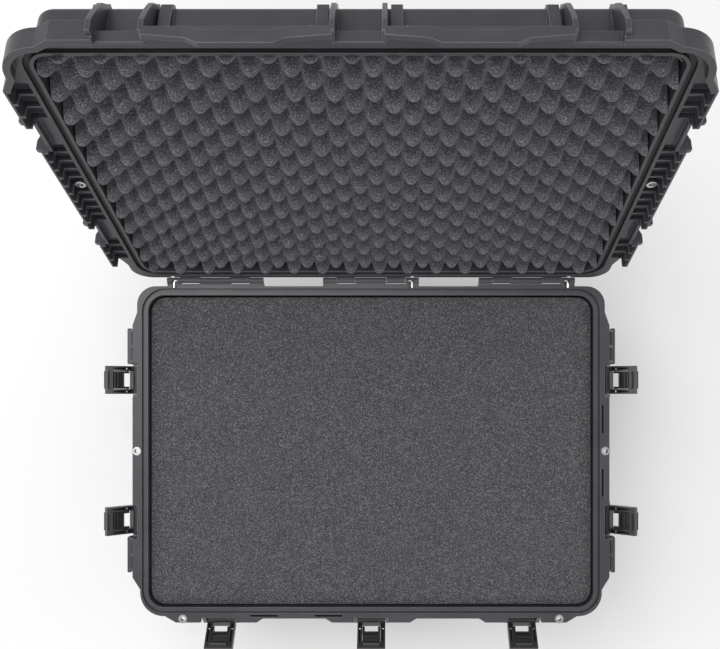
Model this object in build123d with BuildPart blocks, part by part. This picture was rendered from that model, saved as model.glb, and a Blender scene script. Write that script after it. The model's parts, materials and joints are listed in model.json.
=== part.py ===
from build123d import *
import os
from math import cos, radians, sin, tan

# A hard equipment case, standing open: a deep foam-filled base, a shallow foam-lined lid on three
# hinge blocks, seven trigger latches, two folding handles and a pressure valve.
# Millimetres, +Z up. The origin is the centre of the face that the case rests on. -Y is the front,
# where it opens, and the lid is hinged along +Y. Heights named in the lid and latch sections count
# from the rim, the plane where the base and the closed lid meet.

# ---- Driving sizes ----------------------------------------------------------------------------

# Overall
MOUTH_LENGTH = 724.0  # inside the base's rim, along X
MOUTH_WIDTH = 507.0  # inside the base's rim, along Y
BASE_HEIGHT = 345.0  # resting face to the rim
LID_HEIGHT = 66.0  # rim to the outside of the lid's top panel
LID_OPEN_ANGLE = 110.0
LATCH_OPEN_ANGLE = 48.0

# Base shell
WALL = 4.0
FLOOR = 5.0
DRAFT = 1.5
MOUTH_RADIUS = 26.0
SKID_HEIGHT = 3.0
SKID_WIDTH = 44.0
SKID_INSET = 46.0
FLANGE_THICKNESS = 10.0
FLANGE_SIDE = 26.5  # flange edge beyond the mouth
FLANGE_FRONT = 26.0
FLANGE_BACK = 15.0
TONGUE_WIDTH = 6.0
TONGUE_HEIGHT = 4.0
TONGUE_TAPER = 5.0
GROOVE_WIDTH = 5.0
GROOVE_DEPTH = 5.0
RIB_THICKNESS = 4.0
RIB_DEPTH = 7.0
RIB_FOOT = 26.0  # lower end of the wall ribs above the resting face

# Flange outline: the corners are drawn in behind the straight edges
CORNER_IN_SIDE = 12.5
CORNER_IN_FRONT = 10.5
CORNER_IN_REAR = 7.5
FRONT_CORNER_RADIUS = 38.0
REAR_CORNER_RADIUS = 30.0
FRONT_STEP_NEAR = 70.5  # from the side edge, along the front
FRONT_STEP_FAR = 52.5
SIDE_STEP_NEAR = 73.5  # from the front edge, along the side
SIDE_STEP_FAR = 53.5
REAR_STEP_NEAR = 63.5  # from the back edge, along the side
REAR_STEP_FAR = 42.5

# Lid shell
PARTING_GAP = 0.6  # between the closed flanges
LID_FLANGE_TOP = 12.0
LID_PANEL = 4.0
LID_LIP = 4.0  # wall inside the seal channel
LID_WALL = 4.5
CHANNEL_CLEARANCE = 1.0  # seal channel beyond the tongue, each side
CHANNEL_DEPTH = 8.0
LID_EDGE_ROUND = 8.0
SKIRT_GAP = 1.5  # skirt clear of the base's flange
SKIRT_REACH = 9.5  # skirt's outer face beyond the flange edge
SKIRT_SKIN = 2.5
SKIRT_DROP = 14.0
GUSSET_PITCH = 19.0
GUSSET_THICKNESS = 3.0
FLANGE_POCKET_IN = 15.0  # inner side of the flange's pockets, in from the flange edge
FLANGE_POCKET_DEPTH = 8.0
LID_RIB_HEIGHT = 3.0

# Front guard bars of the lid
BAR_NEAR = 10.5  # inner face beyond the flange edge
BAR_THICKNESS = 7.0
BAR_TOP = -3.0
BAR_BOTTOM = -18.0
BAR_DIP_TOP = -7.0
BAR_DIP_BOTTOM = -24.0
BAR_DIP_INSET = 74.0  # start of the dip from the latch centre
BAR_RAMP = 12.0
BAR_WEB_INSET = 50.0

# Seal
SEAL_CLEARANCE = 0.2
SEAL_GAP = 0.3  # between the seal and the tongue when shut

# Hinges
HINGE_INSET = 135.0  # outer block centres from the side edge
HINGE_SETBACK = 9.5  # hinge axis beyond the back edge
HINGE_LENGTH = 156.0
END_KNUCKLE = 22.0
LID_KNUCKLE = 30.0
KNUCKLE_GAP = 0.5
KNUCKLE_RADIUS = 4.6
KNUCKLE_SHOULDER = 0.9  # block's corner, in knuckle radii from the axis
HINGE_PIN_RADIUS = 2.0
PRESS_CLEARANCE = 0.02
RUNNING_CLEARANCE = 0.05
HINGE_BLOCK_DEPTH = 4.0
HINGE_BLOCK_DROP = 20.0
PIN_LEG_INSET = 11.0  # bent leg from the end of its block
PIN_LEG_REACH = 12.5
PIN_BEND_RADIUS = 4.0
PIN_LEG_CLEARANCE = 0.6

# Latches
LATCH_FRONT_INSET = 138.5  # outer front latches from the side edge
LATCH_SIDE_INSET = 137.5  # side latches from the mouth's front and back
LATCH_WIDTH = 46.0
LATCH_LENGTH = 53.0  # pivot to tip
LATCH_INNER = 1.5  # inner face, towards the case from the pivot axis
LATCH_OUTER = 11.0
PIVOT_REACH = 3.5  # pivot beyond the flange edge
PIVOT_DROP = 38.0  # pivot below the rim
PIVOT_PIN_RADIUS = 2.5
BARREL_RADIUS = 6.5
LUG_NOSE = 0.8  # lug's front edge, in barrel radii from the pivot
LUG_TOP = 0.6
LUG_TAIL = 4.0  # lug's lower end, in barrel radii below the pivot
LUG_THICKNESS = 6.0
LUG_GAP = 0.5
LATCH_RECESS = 7.5  # flange cut back in front of each latch
LATCH_RECESS_MARGIN = 5.0
CHEEK = 8.0
CHEEK_SKIN = 2.5
CHEEK_POCKET_DEPTH = 9.5
HOOK_UNDERSIDE = 44.0  # along the latch from the pivot
HOOK_THICKNESS = 5.5
HOOK_REACH = 6.0
HOOK_WIDTH = 27.0
HOOK_ROUND = 0.35  # corner radius as a share of the hook's thickness
TIP_START = 42.0
TRIGGER_CLEARANCE = 0.5
TRIGGER_ALONG = 16.0  # trigger pin along the latch from the pivot
TRIGGER_OUT = 4.0
TRIGGER_PIN_RADIUS = 1.5
PIN_END_INSET = 0.5
TRIGGER_EAR = 3.5
TRIGGER_EAR_RADIUS = 4.0
TRIGGER_PLATE = 5.5  # inner face of the trigger's plate from the pivot axis
TRIGGER_START = 20.5
NIB_TOP = 27.0
NIB_THICKNESS = 3.5
NIB_REACH = 4.7
FINGER_RIB_DEPTH = 5.0
FINGER_RIB_THICKNESS = 1.6
FINGER_RIB_INSET = 1.5
WINDOW_MARGIN = 1.2
SPRING_WIRE = 0.8
SPRING_TURNS = 3

# Catches in the lid, one over each latch
CATCH_MARGIN = 1.5  # beside the latch
CATCH_LIP_REACH = 1.0
CATCH_LIP_THICKNESS = 4.0
CATCH_LIP_DROP = 9.0
CATCH_LIP_TOP = 5.5
CATCH_BACK = 7.0
TOWER_THICKNESS = 5.5
TOWER_REACH = 17.5
TOWER_DROP = 9.0
TOWER_SHOULDER = 0.62  # tower's shoulder, as a share of its reach
BULGE_WIDTH = 13.0

# Padlock eyelets
EYELET_FRONT_INSET = 81.8  # from the side edge
EYELET_EDGE_FRONT = 6.2  # from the front edge
EYELET_EDGE_SIDE = 6.8  # from the side edge
EYELET_BORE_RADIUS = 4.0
EYELET_BODY_RADIUS = 5.0
EYELET_HEAD_RADIUS = 6.7
EYELET_HEAD = 1.0
EYELET_BOSS_RADIUS = 7.2
EYELET_CLEARANCE = 0.05

# Handles
HANDLE_FRONT_SHIFT = 3.5  # towards the middle of the case from midway between two latches
HANDLE_FRONT_MARGIN = 49.5  # handle's end from the latch centre beside it
HANDLE_SIDE_MARGIN = 41.0
HANDLE_PIVOT_IN = 13.5  # pivot inside the flange edge
HANDLE_PIVOT_DROP = 31.0
HANDLE_ARM_LENGTH = 66.0
HANDLE_ARM_THICKNESS = 8.0
HANDLE_ARM_DEPTH = 9.0
HANDLE_PIN_RADIUS = 3.0
HANDLE_LUG_THICKNESS = 5.0
HANDLE_LUG_GAP = 0.6
GRIP_RADIUS = 9.0
GRIP_CORE_RADIUS = 5.0
GRIP_END_GAP = 6.0
FLANGE_SLOT_WIDTH = 3.5
FLANGE_SLOT_INSET = 11.0
FLANGE_SLOT_LENGTH = 46.0

# Side guards of the base, beside the rear-most and front-most parts of each side
GUARD_START = 142.0
GUARD_END = 201.0
GUARD_TOP = -16.0
GUARD_HEIGHT = 12.0
GUARD_REACH = 13.0
GUARD_THICKNESS = 7.0
GUARD_ROOT = 0.5  # guard's root inside the wall's face

# Pressure valve
VALVE_DROP = 75.0
VALVE_BOSS_RADIUS = 18.0
VALVE_BOSS_REACH = 2.0  # boss face beyond the wall's top edge
VALVE_FLANGE_RADIUS = 15.0
VALVE_FLANGE = 6.0
VALVE_STEM_RADIUS = 8.0
VALVE_BORE_RADIUS = 3.0
VALVE_SEAL_INNER = 10.0
VALVE_SEAL_OUTER = 13.0
VALVE_SEAL_HEIGHT = 1.6
VALVE_CAP_RADIUS = 11.0
VALVE_CAP = 2.4
VALVE_VENTS = 6
VALVE_VENT_CIRCLE = 0.6  # as a share of the cap's radius
VALVE_MEMBRANE = 0.8

# Foam
FOAM_GAP = 2.0
FOAM_BELOW_RIM = 6.5
FOAM_PAD = 25.0
FOAM_LAYERS = 3
LID_FOAM_DROP = 4.5  # foam tips below the rim when shut

# ---- Worked-out sizes ----------------------------------------------------------------------------

HALF_LENGTH = MOUTH_LENGTH / 2
HALF_WIDTH = MOUTH_WIDTH / 2
SIDE_EDGE = HALF_LENGTH + FLANGE_SIDE
FRONT_EDGE = HALF_WIDTH + FLANGE_FRONT
BACK_EDGE = HALF_WIDTH + FLANGE_BACK
HINGE_Y = BACK_EDGE + HINGE_SETBACK
HINGE_PITCH = SIDE_EDGE - HINGE_INSET
FLANGE_UNDERSIDE = BASE_HEIGHT - FLANGE_THICKNESS
FLOOR_TOP = SKID_HEIGHT + FLOOR
LATCH_PITCH = SIDE_EDGE - LATCH_FRONT_INSET
LATCH_OFFSET = HALF_WIDTH - LATCH_SIDE_INSET
LUG_INNER = LATCH_WIDTH / 2 + LUG_GAP
CATCH_HALF = LATCH_WIDTH / 2 + CATCH_MARGIN
CENTRE_HALF = LATCH_WIDTH / 2 - CHEEK  # half the width of the opening between a latch's cheeks
LID_PANEL_UNDERSIDE = LID_HEIGHT - LID_PANEL
LID_INNER_SHIFT = -(LID_LIP + CHANNEL_CLEARANCE)  # lid's inner wall beyond the mouth

NEAR = 0.01  # two coordinates this close are the same
FACING = 0.99  # cosine above which a face points along an axis

os.makedirs("parts", exist_ok=True)


# ---- Frames ----------------------------------------------------------------------------------------


def level(frame, height):
    """Plane parallel to a frame's ground, a height above it. Sketch axes: the frame's X and Y."""
    return frame.offset(height)


def section(frame, across):
    """Plane across a frame's X axis. Sketch axes: the frame's Y and Z."""
    origin = frame.from_local_coords(Vector(across, 0, 0))
    return Plane(origin=origin, x_dir=frame.y_dir, z_dir=frame.x_dir)


def elevation(frame, out):
    """Plane across a frame's Y axis, facing -Y. Sketch axes: the frame's X and Z."""
    origin = frame.from_local_coords(Vector(0, out, 0))
    return Plane(origin=origin, x_dir=frame.x_dir, z_dir=-frame.y_dir)


# The same coordinates twice: fixed to the base at its rim, and carried by the lid as it stands open
BASE = Plane(origin=(0, 0, BASE_HEIGHT))
LID_TILT = radians(LID_OPEN_ANGLE)
LID_UP = Vector(0, sin(LID_TILT), cos(LID_TILT))
LID_BACK = Vector(0, cos(LID_TILT), -sin(LID_TILT))
LID = Plane(
    origin=Vector(0, HINGE_Y, BASE_HEIGHT) - LID_BACK * HINGE_Y,
    x_dir=(1, 0, 0),
    z_dir=LID_UP,
)

FRONT = Vector(0, -1, 0)
RIGHT = Vector(1, 0, 0)
LEFT = Vector(-1, 0, 0)
REAR = Vector(0, 1, 0)


def edge_frame(frame, outward, along):
    """Frame at a point of the flange edge: X across, Y out of the case, Z up from the rim."""
    if outward == FRONT:
        centre = Vector(along, -FRONT_EDGE, 0)
    else:
        centre = Vector(outward.X * SIDE_EDGE, along, 0)
    out = frame.from_local_coords(outward) - frame.origin
    return Plane(
        origin=frame.from_local_coords(centre),
        x_dir=out.cross(frame.z_dir),
        z_dir=frame.z_dir,
    )


def latch_frame(outward, along):
    """Frame on a latch's pivot, swung open: X across, Y out of its face, Z along it to the tip."""
    edge = edge_frame(BASE, outward, along)
    swing = radians(LATCH_OPEN_ANGLE)
    return Plane(
        origin=edge.from_local_coords(Vector(0, PIVOT_REACH, -PIVOT_DROP)),
        x_dir=edge.x_dir,
        z_dir=edge.z_dir * cos(swing) + edge.y_dir * sin(swing),
    )


LATCHES = {
    "latch_front_left": (FRONT, -LATCH_PITCH),
    "latch_front_centre": (FRONT, 0.0),
    "latch_front_right": (FRONT, LATCH_PITCH),
    "latch_right_front": (RIGHT, -LATCH_OFFSET),
    "latch_right_rear": (RIGHT, LATCH_OFFSET),
    "latch_left_front": (LEFT, -LATCH_OFFSET),
    "latch_left_rear": (LEFT, LATCH_OFFSET),
}
# Each hinge block's centre, and the end (+1 or -1 along X) where its pin is bent into the base
HINGES = {
    "hinge_pin_left": (-HINGE_PITCH, -1),
    "hinge_pin_centre": (0.0, 1),
    "hinge_pin_right": (HINGE_PITCH, 1),
}
# Each handle's side, centre and half span
HANDLES = {
    "handle_front": (FRONT, HANDLE_FRONT_SHIFT - LATCH_PITCH / 2, LATCH_PITCH / 2 - HANDLE_FRONT_MARGIN),
    "handle_side": (RIGHT, 0.0, LATCH_OFFSET - HANDLE_SIDE_MARGIN),
}
EYELETS = [
    (-(SIDE_EDGE - EYELET_FRONT_INSET), -(FRONT_EDGE - EYELET_EDGE_FRONT)),
    (SIDE_EDGE - EYELET_FRONT_INSET, -(FRONT_EDGE - EYELET_EDGE_FRONT)),
    (-(SIDE_EDGE - EYELET_EDGE_SIDE), 0.0),
    (SIDE_EDGE - EYELET_EDGE_SIDE, 0.0),
]

# ---- Shared outlines -------------------------------------------------------------------------------


def wall_in(height):
    """How far the drafted walls have drawn in at a height above the resting face."""
    return max(0.0, FLANGE_UNDERSIDE - height) * tan(radians(DRAFT))


def mouth_outline(grow, mode=Mode.ADD):
    """The mouth's rounded rectangle, grown or shrunk all round, in the current sketch."""
    RectangleRounded(
        MOUTH_LENGTH + 2 * grow,
        MOUTH_WIDTH + 2 * grow,
        max(MOUTH_RADIUS + grow, 2 * WALL),
        mode=mode,
    )


corner_x = SIDE_EDGE - CORNER_IN_SIDE
corner_y = -(FRONT_EDGE - CORNER_IN_FRONT)
rear_x = SIDE_EDGE - CORNER_IN_REAR
right_side = [
    (SIDE_EDGE - FRONT_STEP_NEAR, -FRONT_EDGE),
    (SIDE_EDGE - FRONT_STEP_FAR, corner_y),
    (corner_x, corner_y),
    (corner_x, -(FRONT_EDGE - SIDE_STEP_FAR)),
    (SIDE_EDGE, -(FRONT_EDGE - SIDE_STEP_NEAR)),
    (SIDE_EDGE, BACK_EDGE - REAR_STEP_NEAR),
    (rear_x, BACK_EDGE - REAR_STEP_FAR),
    (rear_x, BACK_EDGE),
]
left_side = [(-x, y) for x, y in reversed(right_side)]
with BuildSketch() as flange_sketch:
    with BuildLine():
        Polyline(*right_side, *left_side, close=True)
    make_face()
    fillet(flange_sketch.vertices().filter_by(lambda v: abs(v.Y - corner_y) < NEAR
                                              and abs(abs(v.X) - corner_x) < NEAR), FRONT_CORNER_RADIUS)
    fillet(flange_sketch.vertices().filter_by(lambda v: abs(v.Y - BACK_EDGE) < NEAR), REAR_CORNER_RADIUS)
FLANGE_OUTLINE = flange_sketch.sketch


def finish(piece, name):
    """Label a finished piece and write its STEP file."""
    piece.part.label = name
    export_step(piece.part, f"parts/{name}.step")


# ---- Base shell --------------------------------------------------------------------------------------

FRONT_WALL = HALF_WIDTH + WALL
RIB_RUN = wall_in(RIB_FOOT)


def wall_ribs(outward, places):
    """Plane and outline of each upright rib on one wall, parallel to its drafted face."""
    foot = RIB_FOOT - BASE_HEIGHT
    for place in places:
        if outward.Y > 0:
            plane, wall = section(BASE, place), FRONT_WALL
        else:
            plane = section(edge_frame(BASE, outward, place), 0)
            wall = WALL - (FLANGE_FRONT if outward.Y < 0 else FLANGE_SIDE)
        yield plane, [
            (wall - 1, -FLANGE_THICKNESS),
            (wall + RIB_DEPTH, -FLANGE_THICKNESS),
            (wall + RIB_DEPTH - RIB_RUN, foot + RIB_DEPTH),
            (wall - RIB_RUN, foot),
            (wall - RIB_RUN - 1, foot),
        ]


front_ribs = []
for spot in (-LATCH_PITCH, 0.0, LATCH_PITCH):
    front_ribs += [spot - LUG_INNER - LUG_THICKNESS / 2, spot + LUG_INNER + LUG_THICKNESS / 2]
front_ribs += [-(SIDE_EDGE - EYELET_FRONT_INSET), SIDE_EDGE - EYELET_FRONT_INSET]
side_ribs = []
for spot in (-LATCH_OFFSET, LATCH_OFFSET):
    side_ribs += [spot - LUG_INNER - LUG_THICKNESS / 2, spot + LUG_INNER + LUG_THICKNESS / 2]
side_ribs += [-GUARD_END + RIB_THICKNESS, GUARD_END - RIB_THICKNESS]
back_ribs = []
for spot in (-HINGE_PITCH, 0.0, HINGE_PITCH):
    back_ribs += [spot - HINGE_LENGTH / 2 + END_KNUCKLE, spot, spot + HINGE_LENGTH / 2 - END_KNUCKLE]

with BuildPart() as base_shell:
    with BuildSketch(Plane.XY.offset(FLANGE_UNDERSIDE)):
        mouth_outline(WALL)
    extrude(amount=-(FLANGE_UNDERSIDE - SKID_HEIGHT), taper=DRAFT)
    # the runners it stands on
    with BuildSketch(Plane.XY):
        for lane in (-1, 0, 1):
            with Locations((0, lane * (HALF_WIDTH - SKID_INSET - SKID_WIDTH / 2))):
                RectangleRounded(MOUTH_LENGTH - 2 * SKID_INSET, SKID_WIDTH, SKID_WIDTH / 4)
    extrude(amount=SKID_HEIGHT)
    # flange, with its tongue and groove
    with BuildSketch(level(BASE, -FLANGE_THICKNESS)):
        add(FLANGE_OUTLINE)
        for x, y in EYELETS:
            with Locations((x, y)):
                Circle(EYELET_BOSS_RADIUS)
    extrude(amount=FLANGE_THICKNESS)
    with BuildSketch(BASE):
        mouth_outline(TONGUE_WIDTH)
    extrude(amount=TONGUE_HEIGHT, taper=TONGUE_TAPER)
    with BuildSketch(BASE):
        mouth_outline(TONGUE_WIDTH + GROOVE_WIDTH)
        mouth_outline(TONGUE_WIDTH, mode=Mode.SUBTRACT)
    extrude(amount=-GROOVE_DEPTH, mode=Mode.SUBTRACT)
    # ribs on the walls
    for outward, places in ((FRONT, front_ribs), (RIGHT, side_ribs), (LEFT, side_ribs), (REAR, back_ribs)):
        for plane, outline in wall_ribs(outward, places):
            with BuildSketch(plane):
                with BuildLine():
                    Polyline(*outline, close=True)
                make_face()
            extrude(amount=RIB_THICKNESS / 2, both=True)
    # hollow
    with BuildSketch(level(BASE, TONGUE_HEIGHT)):
        mouth_outline(0)
    extrude(amount=-(FLANGE_THICKNESS + TONGUE_HEIGHT), mode=Mode.SUBTRACT)
    with BuildSketch(Plane.XY.offset(FLANGE_UNDERSIDE)):
        mouth_outline(0)
    extrude(amount=-(FLANGE_UNDERSIDE - FLOOR_TOP), taper=DRAFT, mode=Mode.SUBTRACT)
    for outward, along in LATCHES.values():
        edge = edge_frame(BASE, outward, along)
        root = -(FLANGE_FRONT - WALL)
        # the flange is cut back for the latch
        with BuildSketch(level(edge, -FLANGE_THICKNESS)):
            with Locations((0, LATCH_RECESS / 2)):
                Rectangle(LATCH_WIDTH + 2 * LATCH_RECESS_MARGIN, 3 * LATCH_RECESS)
        extrude(amount=FLANGE_THICKNESS, mode=Mode.SUBTRACT)
        # a lug each side carries its pivot
        for side in (-1, 1):
            with BuildSketch(section(edge, side * (LUG_INNER + LUG_THICKNESS / 2))):
                with BuildLine():
                    Polyline(
                        (root - RIB_RUN / 4, -FLANGE_THICKNESS),
                        (-LATCH_RECESS - 1, -FLANGE_THICKNESS),
                        (PIVOT_REACH + BARREL_RADIUS * LUG_NOSE, -PIVOT_DROP + BARREL_RADIUS * LUG_TOP),
                        (PIVOT_REACH, -PIVOT_DROP - BARREL_RADIUS),
                        (root - RIB_RUN / 4, -PIVOT_DROP - LUG_TAIL * BARREL_RADIUS),
                        close=True,
                    )
                make_face()
                with Locations((PIVOT_REACH, -PIVOT_DROP)):
                    Circle(BARREL_RADIUS)
                    Circle(PIVOT_PIN_RADIUS + PRESS_CLEARANCE, mode=Mode.SUBTRACT)
            extrude(amount=LUG_THICKNESS / 2, both=True)
    # the front edge is drawn in between the latches, beside the handle and the valve
    for side in (-1, 1):
        with BuildSketch(level(BASE, -FLANGE_THICKNESS)):
            with BuildLine():
                inner = BAR_DIP_INSET
                outer = LATCH_PITCH - BAR_DIP_INSET
                Polyline(
                    (side * (inner - BAR_RAMP), -FRONT_EDGE - 1),
                    (side * inner, -FRONT_EDGE + LATCH_RECESS - 1),
                    (side * outer, -FRONT_EDGE + LATCH_RECESS - 1),
                    (side * (outer + BAR_RAMP), -FRONT_EDGE - 1),
                    close=True,
                )
            make_face()
        extrude(amount=FLANGE_THICKNESS, mode=Mode.SUBTRACT)
    # handle lugs and the slots over them
    for outward, along, half_span in HANDLES.values():
        edge = edge_frame(BASE, outward, along)
        root = -(FLANGE_FRONT - WALL) - wall_in(BASE_HEIGHT - HANDLE_PIVOT_DROP) - 1
        arm = half_span - HANDLE_ARM_THICKNESS / 2
        for side in (-1, 1):
            for cheek in (-1, 1):
                inner = HANDLE_ARM_THICKNESS / 2 + HANDLE_LUG_GAP
                place = side * arm + cheek * (inner + HANDLE_LUG_THICKNESS / 2)
                with BuildSketch(section(edge, place)):
                    with BuildLine():
                        Polyline(
                            (root, -FLANGE_THICKNESS),
                            (-HANDLE_PIVOT_IN + 2, -FLANGE_THICKNESS),
                            (-HANDLE_PIVOT_IN + HANDLE_ARM_DEPTH / 2, -HANDLE_PIVOT_DROP),
                            (-HANDLE_PIVOT_IN, -HANDLE_PIVOT_DROP - HANDLE_ARM_DEPTH / 2),
                            (root, -HANDLE_PIVOT_DROP - HANDLE_ARM_DEPTH),
                            close=True,
                        )
                    make_face()
                    with Locations((-HANDLE_PIVOT_IN, -HANDLE_PIVOT_DROP)):
                        Circle(HANDLE_PIN_RADIUS + PRESS_CLEARANCE, mode=Mode.SUBTRACT)
                extrude(amount=HANDLE_LUG_THICKNESS / 2, both=True)
            slot = side * (half_span - FLANGE_SLOT_LENGTH / 2)
            with BuildSketch(level(edge, -FLANGE_THICKNESS)):
                with Locations((slot, -FLANGE_SLOT_INSET)):
                    Rectangle(FLANGE_SLOT_LENGTH, FLANGE_SLOT_WIDTH)
            extrude(amount=FLANGE_THICKNESS, mode=Mode.SUBTRACT)
    # guards low on each side, towards the corners
    for outward in (RIGHT, LEFT):
        for end in (-1, 1):
            middle = end * (GUARD_START + GUARD_END) / 2
            edge = edge_frame(BASE, outward, middle)
            with BuildSketch(level(edge, GUARD_TOP - GUARD_HEIGHT)):
                with Locations((0, GUARD_REACH - GUARD_THICKNESS / 2)):
                    RectangleRounded(GUARD_END - GUARD_START, GUARD_THICKNESS, GUARD_THICKNESS / 3)
            extrude(amount=GUARD_HEIGHT)
            root = -(FLANGE_SIDE - WALL) - wall_in(BASE_HEIGHT - 3 * GUARD_HEIGHT) - GUARD_ROOT
            for web in (-1, 0, 1):
                place = web * ((GUARD_END - GUARD_START) / 2 - RIB_THICKNESS)
                with BuildSketch(section(edge, place)):
                    with BuildLine():
                        Polyline(
                            (root, -FLANGE_THICKNESS),
                            (-LATCH_RECESS, -FLANGE_THICKNESS),
                            (GUARD_REACH - GUARD_THICKNESS / 2, GUARD_TOP),
                            (GUARD_REACH - GUARD_THICKNESS / 2, GUARD_TOP - GUARD_HEIGHT),
                            (root, GUARD_TOP - 2 * GUARD_HEIGHT),
                            close=True,
                        )
                    make_face()
                extrude(amount=RIB_THICKNESS / 2, both=True)
    # eyelet holes, with a seat for each head
    for x, y in EYELETS:
        with BuildSketch(BASE):
            with Locations((x, y)):
                Circle(EYELET_BODY_RADIUS + EYELET_CLEARANCE)
        extrude(amount=-FLANGE_THICKNESS, mode=Mode.SUBTRACT)
        for seat in (0, -FLANGE_THICKNESS + EYELET_HEAD):
            with BuildSketch(level(BASE, seat)):
                with Locations((x, y)):
                    Circle(EYELET_HEAD_RADIUS + EYELET_CLEARANCE)
            extrude(amount=-EYELET_HEAD, mode=Mode.SUBTRACT)
    # hinge blocks
    for middle, bent_end in HINGES.values():
        start = middle - HINGE_LENGTH / 2
        with BuildSketch(section(BASE, start)):
            with BuildLine():
                Polyline(
                    (FRONT_WALL - 1 - RIB_RUN / 8, -FLANGE_THICKNESS / 2),
                    (BACK_EDGE + HINGE_BLOCK_DEPTH, -FLANGE_THICKNESS / 2),
                    (BACK_EDGE + HINGE_BLOCK_DEPTH, -HINGE_BLOCK_DROP + HINGE_BLOCK_DEPTH),
                    (BACK_EDGE, -HINGE_BLOCK_DROP),
                    (FRONT_WALL - 1 - RIB_RUN / 8, -HINGE_BLOCK_DROP),
                    close=True,
                )
            make_face()
            with BuildLine():
                Polyline(
                    (BACK_EDGE - 1, -FLANGE_THICKNESS + 1),
                    (BACK_EDGE - 1, 0),
                    (BACK_EDGE + HINGE_BLOCK_DEPTH, 0),
                    (BACK_EDGE + HINGE_BLOCK_DEPTH, -FLANGE_THICKNESS + 1),
                    close=True,
                )
            make_face()
        extrude(amount=HINGE_LENGTH)
        middle_knuckle = HINGE_LENGTH - 2 * (END_KNUCKLE + LID_KNUCKLE + 2 * KNUCKLE_GAP)
        first = start
        second = start + END_KNUCKLE + LID_KNUCKLE + 2 * KNUCKLE_GAP
        third = start + HINGE_LENGTH - END_KNUCKLE
        for place, length in ((first, END_KNUCKLE), (second, middle_knuckle), (third, END_KNUCKLE)):
            with BuildSketch(section(BASE, place)):
                with BuildLine():
                    Polyline(
                        (BACK_EDGE + 1, -1),
                        (HINGE_Y - 1, KNUCKLE_RADIUS * KNUCKLE_SHOULDER),
                        (HINGE_Y + KNUCKLE_RADIUS * KNUCKLE_SHOULDER, -1),
                        (BACK_EDGE + 1, -HINGE_BLOCK_DROP + HINGE_BLOCK_DEPTH),
                        close=True,
                    )
                make_face()
                with Locations((HINGE_Y, 0)):
                    Circle(KNUCKLE_RADIUS)
            extrude(amount=length)
        with BuildSketch(section(BASE, start)):
            with Locations((HINGE_Y, 0)):
                Circle(HINGE_PIN_RADIUS + PRESS_CLEARANCE)
        extrude(amount=HINGE_LENGTH, mode=Mode.SUBTRACT)
        # pocket for the pin's bent leg
        leg = middle + bent_end * (HINGE_LENGTH / 2 - PIN_LEG_INSET)
        pocket = HINGE_PIN_RADIUS + PIN_LEG_CLEARANCE
        inner_x = leg - bent_end * (PIN_BEND_RADIUS + HINGE_PIN_RADIUS)
        outer_x = leg + bent_end * pocket
        front_y = HINGE_Y - PIN_LEG_REACH - PIN_LEG_CLEARANCE
        with BuildSketch(level(BASE, -pocket)):
            with Locations(((inner_x + outer_x) / 2, (front_y + HINGE_Y) / 2)):
                Rectangle(abs(outer_x - inner_x), HINGE_Y - front_y)
        extrude(amount=pocket + KNUCKLE_RADIUS, mode=Mode.SUBTRACT)
    # pressure valve's boss
    valve_x = LATCH_PITCH / 2 - HANDLE_FRONT_SHIFT
    valve_face = -(FRONT_WALL + VALVE_BOSS_REACH)
    with BuildSketch(elevation(BASE, -(HALF_WIDTH + WALL / 2) + wall_in(BASE_HEIGHT - VALVE_DROP))):
        with Locations((valve_x, -VALVE_DROP)):
            Circle(VALVE_BOSS_RADIUS)
    extrude(amount=VALVE_BOSS_REACH + WALL / 2 + wall_in(BASE_HEIGHT - VALVE_DROP))
    with BuildSketch(elevation(BASE, valve_face)):
        with Locations((valve_x, -VALVE_DROP)):
            Circle(VALVE_STEM_RADIUS + PRESS_CLEARANCE)
    extrude(amount=-(WALL + 4 * VALVE_BOSS_REACH), mode=Mode.SUBTRACT)
finish(base_shell, "base_shell")

# ---- Lid shell -----------------------------------------------------------------------------------------

LID_DOME = LID_WALL + LID_INNER_SHIFT
TOWER_HALF = CATCH_HALF + TOWER_THICKNESS / 2


def lid_skirt(grow):
    """The skirt's runs, grown past the flange outline: gaps at the catches, mid front and rear."""
    offset(FLANGE_OUTLINE, amount=grow, kind=Kind.INTERSECTION, mode=Mode.ADD)
    with Locations((0, -FRONT_EDGE)):
        Rectangle(2 * (LATCH_PITCH + CATCH_HALF), 8 * SKIRT_REACH, mode=Mode.SUBTRACT)
    rear = BACK_EDGE - REAR_STEP_NEAR
    with Locations((0, rear + BACK_EDGE / 2)):
        Rectangle(3 * SIDE_EDGE, BACK_EDGE, mode=Mode.SUBTRACT)
    for place in (-LATCH_OFFSET, LATCH_OFFSET):
        with Locations((0, place)):
            Rectangle(3 * SIDE_EDGE, 2 * CATCH_HALF, mode=Mode.SUBTRACT)


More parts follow.
